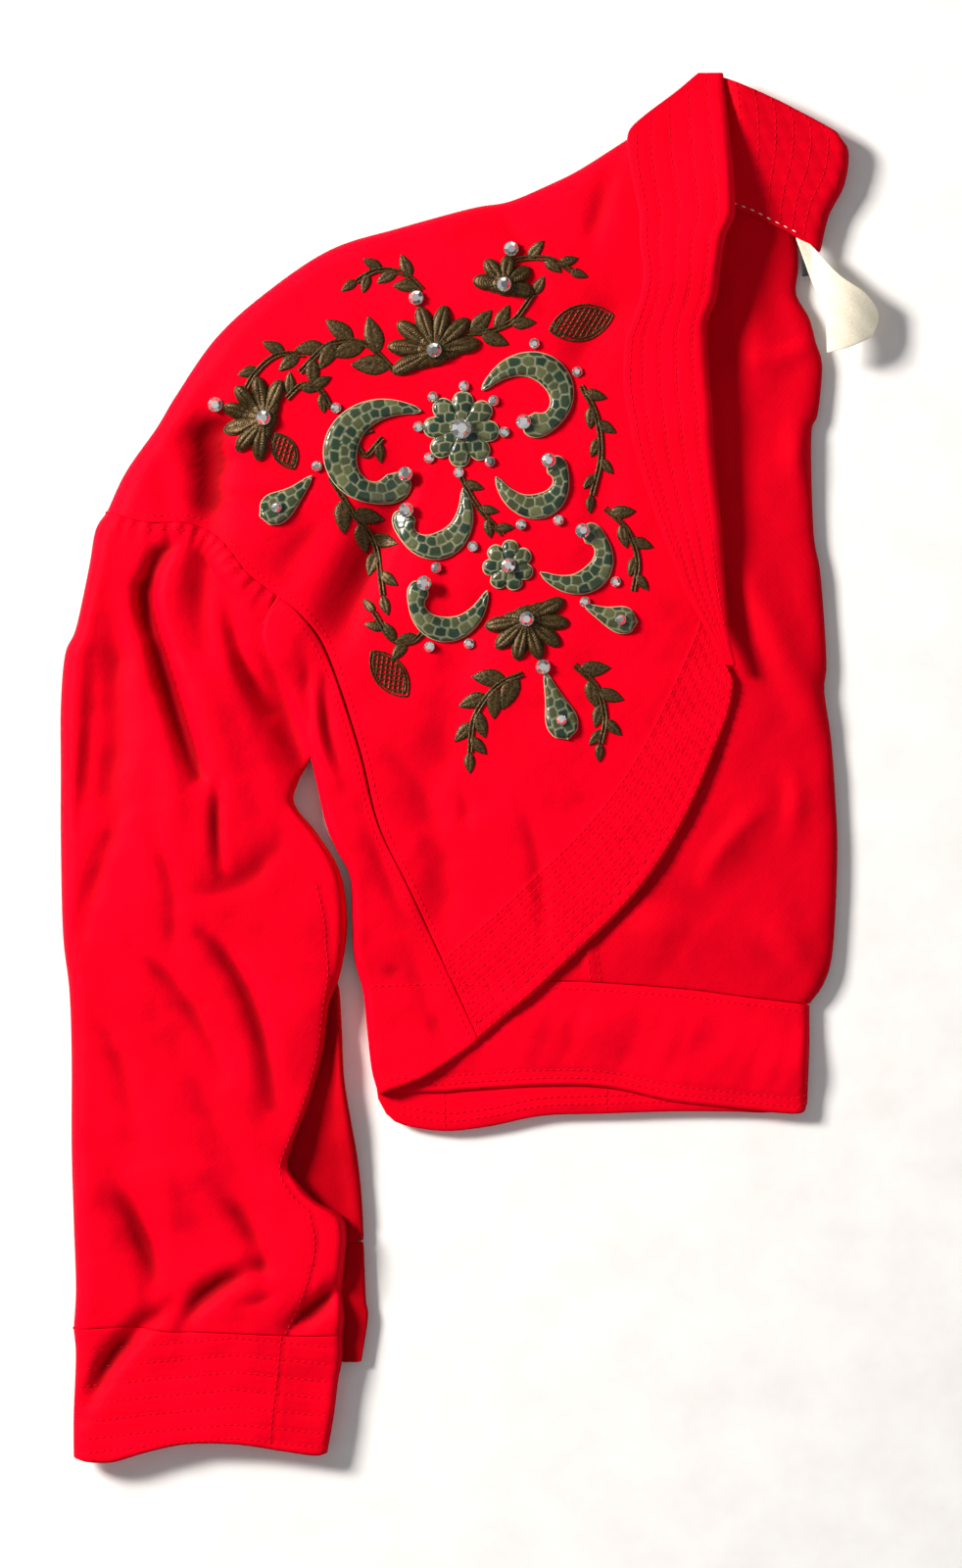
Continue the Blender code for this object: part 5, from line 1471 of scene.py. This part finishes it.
def ribbonPath(row):
    _, kind, down, out, heading, length, turn, halfWidth = row
    count = design["stations"][kind]
    angle = np.radians(heading + turn * np.linspace(0, 1, count) ** design["curl"])
    step = length / (count - 1)
    downs = down + step * np.concatenate([[0], np.cumsum(np.cos(angle[:-1]))])
    outs = out + step * np.concatenate([[0], np.cumsum(np.sin(angle[:-1]))])
    line = smoothLine(onAxis(downs, outs), 12)
    run = runAlong(line)
    even = np.linspace(0, run[-1], int(run[-1] / design["every"]))
    line = np.stack([np.interp(even, run, line[:, k]) for k in (0, 1)], axis=1)
    profile = smoothLine(design["widths"][kind], 8)
    half = halfWidth * np.interp(even / even[-1], profile[:, 0], profile[:, 1])
    endGap = np.minimum(even, even[-1] - even)
    return line, even, half * np.sqrt(np.clip(endGap / design["roundEnd"], 0.03, 1))


def ribbonPiece(row, seed):
    # A long motif: a grid that stands on the cloth, closed down its sides and underneath
    line, run, half = ribbonPath(row)
    t = np.sin(np.linspace(-math.pi / 2, math.pi / 2, 27))
    normal = leftOf(unit(np.gradient(line, axis=0)))
    xy = line[:, None] + (t[:, None] * half[:, None, None]) * normal[:, None]
    tone, net = scaleCells(np.tile(run[:, None], len(t)) + 100 * seed, t * half[:, None] + 50, seed)
    dome = np.clip(1 - np.abs(t) ** 5, 0, 1) ** 0.5
    fade = np.clip(half / design["thinFrom"], 0.25, 1)[:, None]
    lift = design["edge"] + (design["rise"] - design["edge"]) * dome * fade
    lift = lift - design["netDepth"]["ribbon"] * net * dome
    rows, columns = xy.shape[:2]
    ground = spreadOut(onFront(xy[::4, ::4]), np.arange(rows) / 4, np.arange(columns) / 4)
    top = np.dstack([xy, ground + lift]).reshape(-1, 3)
    loop = loopRound(rows, columns)
    low = np.column_stack([top[loop, :2], ground.ravel()[loop] + design["base"]])
    following = np.arange(len(loop)) + rows * columns
    faces = [tuple(f) for f in np.vstack([cells(rows, columns), strip(loop, following)])]
    faces.append(tuple(following[::-1]))
    flip = np.cross(xy[1, 1] - xy[1, 0], xy[2, 0] - xy[1, 0]) < 0
    return motifPiece(row, np.vstack([top, low]), faces, flip, dict(tone=tone, net=net), top[loop])


def reachAt(kind, lobes, angle):
    # How far the outline lies from the middle, and the place across its lobe, -1 to 1
    spread = design["spread"][kind]
    place = (angle / spread + 0.5) * lobes
    across = 2 * (place - np.floor(place)) - 1
    if kind == "rosette":
        return 0.72 + 0.28 * (1 - np.abs(across) ** 2.6), across
    fan = 0.56 + 0.44 * (1 - np.abs(across) ** 1.7) ** 0.8
    behind = np.interp(np.abs(angle), (spread / 2, 140, 180), (0.56, 0.34, 0.30))
    inFan = np.abs(angle) <= spread / 2
    return np.where(inFan, fan, behind), np.where(inFan, across, 0.0)


def lobedPiece(row, seed):
    # A round motif: rings about its middle, closed in the same way
    _, kind, _, _, _, radius, lobes, _ = row
    columnGap, ringGap = design["gaps"][kind]
    columns = int(math.tau * radius / columnGap)
    angle = np.linspace(-180, 180, columns, endpoint=False)
    reach, across = reachAt(kind, lobes, angle)
    share = np.linspace(0, 1, int(radius / ringGap))[1:, None]
    r = share * radius * reach
    xy, middle = fromMiddle(row, r, angle), fromMiddle(row, 0)
    rim = np.clip(1 - share**5, 0, 1) ** 0.5
    groove = 1 - 0.5 * np.abs(across) ** 5 * np.clip(share * 2.4 - 0.5, 0, 1)
    lift = design["edge"] + (design["rise"] - design["edge"]) * rim * groove
    look = {}
    if kind == "palmette":
        ridges = np.abs(np.sin(math.pi * (r + 1.6 * np.abs(across)) / bronze["strandMm"] / 1.3))
        veins = np.exp(-((across * r * 0.5) ** 2)) * (share > 0.35)
        knob = np.clip(1 - (r / (0.34 * radius)) ** 2, 0, 1) ** 0.5
        lift = lift + 0.3 * ridges * rim - 0.45 * veins * rim + 0.5 * knob
    else:
        tone, net = scaleCells(xy[..., 0] + 300 + 20 * seed, xy[..., 1], seed)
        look = dict(tone=tone, net=net)
        lift = lift - design["netDepth"]["rosette"] * net * rim
    rings, ground = len(xy), onFront(xy)
    top = np.dstack([xy, ground + lift]).reshape(-1, 3)
    low = np.dstack([xy[-1:], ground[-1:] + design["base"]]).reshape(-1, 3)
    crown = (*middle, onFront(middle[None])[0] + lift[0].mean())
    around = np.arange(columns)
    beside = np.roll(around, -1)
    faces = [(k, n, (rings + 1) * columns) for k, n in zip(around, beside)]
    for start in columns * np.arange(rings):
        following = start + columns
        faces += list(zip(start + beside, start + around, following + around, following + beside))
    faces.append(tuple((rings * columns + around)[::-1]))
    flip = np.cross(xy[-1, 1] - xy[-1, 0], middle - xy[-1, 0]) <= 0
    return motifPiece(row, np.vstack([top, low, [crown]]), faces, flip, look, top[-columns:])


leatherEdges, threadEdges = [], []
for seed, row in enumerate(design["motifs"]):
    makePiece = ribbonPiece if row[1] in design["widths"] else lobedPiece
    (threadEdges if row[1] == "palmette" else leatherEdges).append(makePiece(row, seed))
rims = dict(leather=(0.75, -0.1), thread=(1.0, -0.3))  # a cord round each: its width and height
for name, finish, slot, edges, (width, rise) in (
    ("cutLeatherEdges", "rawEdge", "embossed_leather", leatherEdges, rims["leather"]),
    ("fanOutlines", "bronze", "bronze_thread", threadEdges, rims["thread"]),
):
    rideAll(slot, corded(name, [raised(edge, rise) for edge in edges], finish, width))
print("motifs made")

# Thread sprays between the motifs: a double stem with leaves to both sides
sprays = dict(
    stems=(  # a line, the number of leaves, the length of the first and of the last
        (((154, 500), (140, 513), (124, 513), (110, 500)), 8, 15, 10),
        (((124, 452), (134, 436), (144, 422), (148, 398)), 8, 14, 8),
        (((186, 518), (196, 519), (208, 524), (217, 536)), 6, 12, 8),
        (((239, 494), (246, 480), (248, 462), (244, 444)), 7, 9, 7),
        (((212, 362), (200, 356), (190, 342), (188, 326)), 8, 14, 8),
        (((236, 366), (246, 356), (250, 342), (248, 330)), 7, 12, 7),
        (((166, 538), (158, 545), (146, 547), (136, 542)), 6, 10, 7),
        (((148, 470), (140, 462), (136, 470), (143, 474)), 3, 8, 6),
        (((184, 452), (190, 441), (197, 432), (203, 426)), 6, 8, 7),
        (((250, 438), (260, 428), (265, 414), (263, 400)), 6, 10, 7),
        (((104, 488), (111, 494), (119, 492), (124, 484)), 5, 9, 7),
        (((196, 545), (210, 552), (224, 552), (234, 547)), 6, 10, 7),
        (((170, 386), (162, 377), (152, 378), (144, 390)), 6, 10, 7),
        (((112, 508), (100, 508), (90, 500), (84, 490)), 6, 10, 7),
    ),
    stemGap=0.8, stemWidth=1.3, leafShare=0.26, lean=38, rise=1.1, strand=1.15, clear=0.8, size=1.2,
    onCloth=0.35, underLeaf=0.15,
)


def taken(place, margin):
    # Whether a spot lies on a motif
    for outline in leatherEdges + threadEdges:
        edge = outline[:, :2]
        if insideDistance(*place, edge) > 0 or np.min(np.hypot(*(edge - place).T)) < margin:
            return True
    return False


def leafGrid(root, heading, length):
    s, t = np.meshgrid(np.linspace(0, 1, 21), np.linspace(-1, 1, 11), indexing="ij")
    half = sprays["leafShare"] * length * np.sin(math.pi * s**0.8) ** 0.8 + 0.12
    way = np.array([math.cos(heading), math.sin(heading)])
    bend = 0.1 * length * s**2
    xy = root + (s * length)[..., None] * way + (t * half + bend)[..., None] * leftOf(way)
    dome = np.sqrt(np.clip(1 - t**2, 0, 1)) * np.sin(math.pi * np.clip(s, 0.04, 0.96)) ** 0.4
    strands = np.abs(np.sin(math.pi * (s * length + 1.3 * np.abs(t)) / sprays["strand"]))
    return xy, sprays["rise"] * dome * (0.72 + 0.28 * strands) - 0.3 * dome * np.exp(-((t / 0.16) ** 2))


def leavesOf(path, way, count, first, last):
    # Leaves to both sides and one at the end, where no motif is in their way
    for n in range(count):
        k = int((0.08 + 0.92 * n / (count - 1)) * (len(path) - 1))
        turn = 0 if n == count - 1 else (-1) ** n * math.radians(sprays["lean"])
        heading = math.atan2(way[k, 1], way[k, 0]) + turn
        length = sprays["size"] * (first + (last - first) * n / (count - 1))
        tip = path[k] + length * np.array([math.cos(heading), math.sin(heading)])
        if not (taken(tip, sprays["clear"]) or taken((path[k] + tip) / 2, sprays["clear"] + 1.5)):
            yield leafGrid(path[k], heading, length)


def makeSprays():
    points, faces, stems, start = [], [], [], 0
    for line, count, first, last in sprays["stems"]:
        path = smoothLine(line, 16)
        way = unit(np.gradient(path, axis=0))
        for gap in (-sprays["stemGap"], sprays["stemGap"]):
            rail = path + gap * leftOf(way)
            stems.append(np.column_stack([rail, onFront(rail) + sprays["onCloth"]]))
        for xy, lift in leavesOf(path, way, count, first, last):
            top = np.dstack([xy, onFront(xy) + sprays["underLeaf"] + lift]).reshape(-1, 3)
            loop = loopRound(*lift.shape)
            low = top[loop] - (0, 0, 0.12)
            following = np.arange(len(loop)) + start + len(top)
            faces += [tuple(f) for f in cells(*lift.shape, start)[:, ::-1]]
            faces += [tuple(f)[::-1] for f in strip(loop + start, following)]
            faces.append(tuple(following))
            points += [top, low]
            start += len(top) + len(low)
    leaves = newPiece("embroideredLeaves", np.vstack(points), faces, finishes["bronze"])
    return leaves, corded("embroideredStems", stems, "bronze", sprays["stemWidth"])


rideAll("bronze_thread", *makeSprays())

# Almond shapes of open net, edged with two rounds of cord
lace = dict(
    almonds=(  # middle, half length and half width, turn
        (239, 523, 15, 8, 14), (103, 464, 9, 5.5, -62), (151, 362, 13, 7, -52),
    ),
    mesh=3.1, cord=0.8, rims=(1.0, 0.84), point=0.8, onCloth=0.35,
)


def laceLines(x, y, halfLength, halfWidth, turn):
    way = np.array([math.cos(math.radians(turn)), math.sin(math.radians(turn))])
    t = np.sin(np.linspace(-math.pi / 2, math.pi / 2, 40))
    half = (1 - t**2) ** lace["point"]
    rim = np.column_stack([np.r_[t, t[-2::-1]] * halfLength, np.r_[half, -half[-2::-1]] * halfWidth])
    lines = [rim * size for size in lace["rims"]]
    run = np.linspace(-halfLength, halfLength, 120)
    limit = halfWidth * lace["rims"][1] * np.clip(1 - (run / halfLength) ** 2, 0, 1) ** lace["point"]
    for slope in (-1, 1):
        for k in np.arange(-24, 24, lace["mesh"]):
            line = np.column_stack([run, slope * (run - k)])
            line = line[np.abs(line[:, 1]) < limit]
            if len(line) > 4:
                lines.append(line[::4])
    for line in lines:
        xy = np.array((x, y)) + line[:, :1] * way + line[:, 1:] * leftOf(way)
        yield np.column_stack([xy, onFront(xy) + lace["onCloth"]])


nets = [line for almond in lace["almonds"] for line in laceLines(*almond)]
rideAll("bronze_thread", corded("laceNets", nets, "bronze", lace["cord"]))
print("sprays made")

# Stones: along the scrolls, at the middles of the flowers and between the motifs
stones = dict(
    large=9.0, middle=6.5, small=4.6, largeFrom=12, onLobes=1.16, beyondFan=1.22, beside=4.0,
    shares=(0.36, 0.56), dropShare=0.72, seat=0.24, out=0.2, apart=0.55, fromEdge=6, seed=4,
)


def stonePlaces():
    # x, y, size and height over the cloth
    small, middle = stones["small"], stones["middle"]
    for row in design["motifs"]:
        _, kind, _, _, _, radius, turn, _ = row
        if kind == "rosette":
            wide = radius > stones["largeFrom"]
            yield (*fromMiddle(row, 0), stones["large"] if wide else middle, design["rise"])
            for k in range(turn if wide else 0):
                yield (*fromMiddle(row, radius * stones["onLobes"], 360 * (k + 0.5) / turn), small, 0)
        elif kind == "palmette":
            yield (*fromMiddle(row, 0), middle, design["rise"] + 0.4)
            yield (*fromMiddle(row, stones["beyondFan"] * radius), middle, 0)
        elif kind == "scroll":
            line, _, half = ribbonPath(row)
            yield (*line[-2], middle, design["rise"])
            for k in (int(share * len(line)) for share in stones["shares"]):
                away = unit(-leftOf(line[k] - line[k - 1])) * np.sign(turn)
                yield (*(line[k] + away * (half[k] + stones["beside"])), small, 0)
        else:
            line, _, _ = ribbonPath(row)
            yield (*line[int(stones["dropShare"] * len(line))], small, design["rise"])


def clearOf(spot, other):
    return np.hypot(*(spot[:2] - other[:2])) > stones["apart"] * (spot[2] + other[2])


kept = []
for spot in (np.array(place, float) for place in stonePlaces()):
    inside = insideDistance(spot[0], spot[1], bodyOutline) > stones["fromEdge"]
    if inside and all(clearOf(spot, other) for other in kept):
        kept.append(spot)
kept = np.array(kept)
sizes = kept[:, 2]
seats = np.column_stack([kept[:, :2], onFront(kept[:, :2]) + kept[:, 3] + stones["seat"] * sizes])
for name, tree, finish, rise in (
    ("stones", "stone", "crystal", stones["out"]), ("stoneClaws", "claw", "nickel", 0),
):
    settings = {"Seed": stones["seed"], "Material": finishes[finish]}
    rideAll("clear_stone", grown(name, trees[tree], settings, raised(seats, rise), sizes=sizes))
print(len(kept), "stones")

# Sewing
sewing = dict(
    onCloth=0.05, jump=2.5, sleeveIn=2.2, cuffIn=1.8, hemTopIn=3.2,
    fill=1.9, fillDown=1.35, tuck=3.8, ends=2.8,
    backSeam=(((241.5, 241), (243.5, 222)), ((246, 240), (248, 222))),
    farSeams=(((176, 172), (176.5, 154.5)), ((251, 173), (251, 162.5))),
    tuckLine=((94, 384), (97.2, 391), (100.5, 396.6), (103, 399)),
    basting=((309.5, 578), (318, 574.8), (327, 570.3), (337, 565.4)),
)
clothTree = treeOf(front, side, sleeve, cuff, back, hem, collarFront, collarBack)


def onCloth(line, rise=sewing["onCloth"], steps=10):
    # A line laid on whatever cloth is uppermost, left out where it would jump between layers
    laid, parts = [], []
    for x, y in smoothLine(line, steps):
        z = heightOn(clothTree, x, y)
        if z is None or (laid and abs(z + rise - laid[-1][2]) > sewing["jump"]):
            parts.append(laid)
            laid = []
        if z is not None:
            laid.append((x, y, z + rise))
    return [np.array(part) for part in parts + [laid] if len(part) > 3]


def moved(line, dx, dy):
    return [(x + dx, y + dy) for x, y in line]


acrossQuilt = np.linalg.norm(np.diff(frontFine[60, :, :2], axis=0), axis=1).cumsum()
valleys = [
    1 + int(np.argmin(abs(acrossQuilt - quilt["start"] - quilt["pitch"] * k)))
    for k in range(quilt["rows"] + 1)
]
quiltLines = [raised(frontFine[3:-2, k], 0.06) for k in valleys]
channelLines = [
    line for number in (*range(1, collar["channels"]), 0.32) for line in onCloth(channelLine(number))
]
seamLines = [raised(line, 0.05) for line in (frontFine[4, 3:-8], sideFine[4:-2, -5], sleeveFine[-5, 6:-6])]
xs = np.linspace(10, 121, 40)
cuffGuides = [np.column_stack([xs, row + cuffEnd(xs)]) for row in cuffRows["places"]]
cuffLines = [line for guide in cuffGuides for line in onCloth(guide, steps=1)]
hemGuides = [moved(shape["hemLower"], 0, row) for row in hemRows["places"]]
hemGuides += [moved(hemLine, 0, -sewing["hemTopIn"]), *sewing["backSeam"]]
hemLines = [line for guide in hemGuides for line in onCloth(guide)]
for guide in (*sewing["farSeams"], *(moved(hidden["farHem"][2:], 0, row) for row in hemRows["places"])):
    x, y = smoothLine(guide, 12).T
    hemLines.append(np.column_stack([x, y, farHalfHeight(x, y) + 0.1]))
armLines = onCloth(moved(underarm, -sewing["sleeveIn"], 0)) + onCloth(moved(cuffSeam, -sewing["cuffIn"], 0))
bandLines = [raised(bandFine[3:-3, k], 0.06) for k in range(6, bandFine.shape[1] - 12, 7)]

# The turned-in edges along each seam, seen as a thin line at the bottom of the join
joins = (frontFine[0], sleeveFine[0], backFine[0, :-6], sleeveFine[-1])
allowances = [raised(line, -sewing["fillDown"]) for line in joins]
# A tuck of cloth where the underarm meets the armhole
tuck = np.array(sewing["tuckLine"])
tuck = np.column_stack([tuck, bodyTop(*tuck.T) - 2.2])
# Where a seam runs off the edge of a fold, the cloth behind it closes the join
behind = [np.array(line) for line in (
    ((121, 101.4, hidden["farTop"] - 1.9), (136.2, 101.4, hidden["farTop"] - 1.9)),
    ((334, 211.2, jacket["backTop"] - 2.2), (343.4, 210.0, jacket["backTop"] - 3.2)),
)]
rideAll(
    "red_sateen", corded("seamAllowances", allowances, "inside", sewing["fill"]),
    corded("underarmTuck", [tuck], "sateen", sewing["tuck"]),
    corded("seamEnds", behind, "sateen", sewing["ends"]),
)
rideAll("sewing_thread", *(sewn(name, lines) for name, lines in (
    ("quiltStitches", quiltLines), ("collarStitches", channelLines), ("seamStitches", seamLines),
    ("cuffStitches", cuffLines), ("hemStitches", hemLines), ("sleeveStitches", armLines),
    ("bandStitches", bandLines),
)))
rideAll("sewing_thread", sewn(
    "bastingStitches", onCloth(sewing["basting"], 0.3), "basting", pitch=4.1, length=2.3, thread=0.6,
))
print("sewing made")

# Floor, light and camera, in metres
studio = dict(
    floor="f8f7f6", floorWorn="efedec", floorSide=3.0, floorDown=0.0002,
    wallLow="3c3c3c", wallHigh="ffffff", wallStrength=0.42,
    key=dict(place=(-1.9, 0.95, 1.4), size=0.6, power=124.0, colour="fffaf4"),
    fill=dict(place=(1.2, -0.9, 1.9), size=1.4, power=4.0, colour="f4f7ff"),
    lens=110, sensor=36, reach=0.72, middle=(0.00535, -0.00725), planeZ=0.012,
)
half = studio["floorSide"] / 2
floor = bpy.data.meshes.new("floor")
floor.from_pydata([(-half, -half, 0), (half, -half, 0), (half, half, 0), (-half, half, 0)], [], [range(4)])
# Matt seamless paper
floor.materials.append(plainMaterial("seamlessPaper", studio["floorWorn"], studio["floor"], 30.0, {
    "Roughness": 0.95, "Specular IOR Level": 0.1,
}, 0.0))
floorPiece = linked("floor", floor)
floorPiece.location.z = -studio["floorDown"]
floorPiece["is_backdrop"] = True

for name in ("key", "fill"):
    settings = studio[name]
    light = bpy.data.lights.new(name, "AREA")
    light.energy, light.size = settings["power"], settings["size"]
    light.color = hexColour(settings["colour"])[:3]
    lamp = linked(name, light)
    lamp.location = settings["place"]
    lamp.rotation_euler = (-Vector(settings["place"])).to_track_quat("-Z", "Y").to_euler()

# Uneven pale walls, which polished stones and metal pick up
scene = bpy.context.scene
world = bpy.data.worlds.new("studio")
world.use_nodes = True
background = world.node_tree.nodes["Background"]
walls = addNode(world.node_tree, "ShaderNodeTexCoord", {}, {}).outputs["Generated"]
patches = addNode(world.node_tree, "ShaderNodeTexNoise", {}, {"Vector": walls, "Scale": 3.5, "Detail": 1.0})
wallTones = ((0.44, studio["wallLow"]), (0.54, studio["wallHigh"]))
colour = tonesOf(world.node_tree, patches.outputs["Fac"], wallTones)
world.node_tree.links.new(colour, background.inputs["Color"])
background.inputs["Strength"].default_value = studio["wallStrength"]
scene.world = world

lens = bpy.data.cameras.new("camera")
lens.lens, lens.sensor_width = studio["lens"], studio["sensor"]
camera = linked("camera", lens)
away = studio["reach"] * studio["lens"] / studio["sensor"]
camera.location = (*studio["middle"], studio["planeZ"] + away)
scene.camera = camera
scene.view_settings.view_transform = "Standard"
scene.view_settings.look = "None"
scene.cycles.max_bounces = 6
print("studio made")

dressedBox = [list(corner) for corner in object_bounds()]
for box in (cadBox, dressedBox):
    json.dumps(box) + "\n"
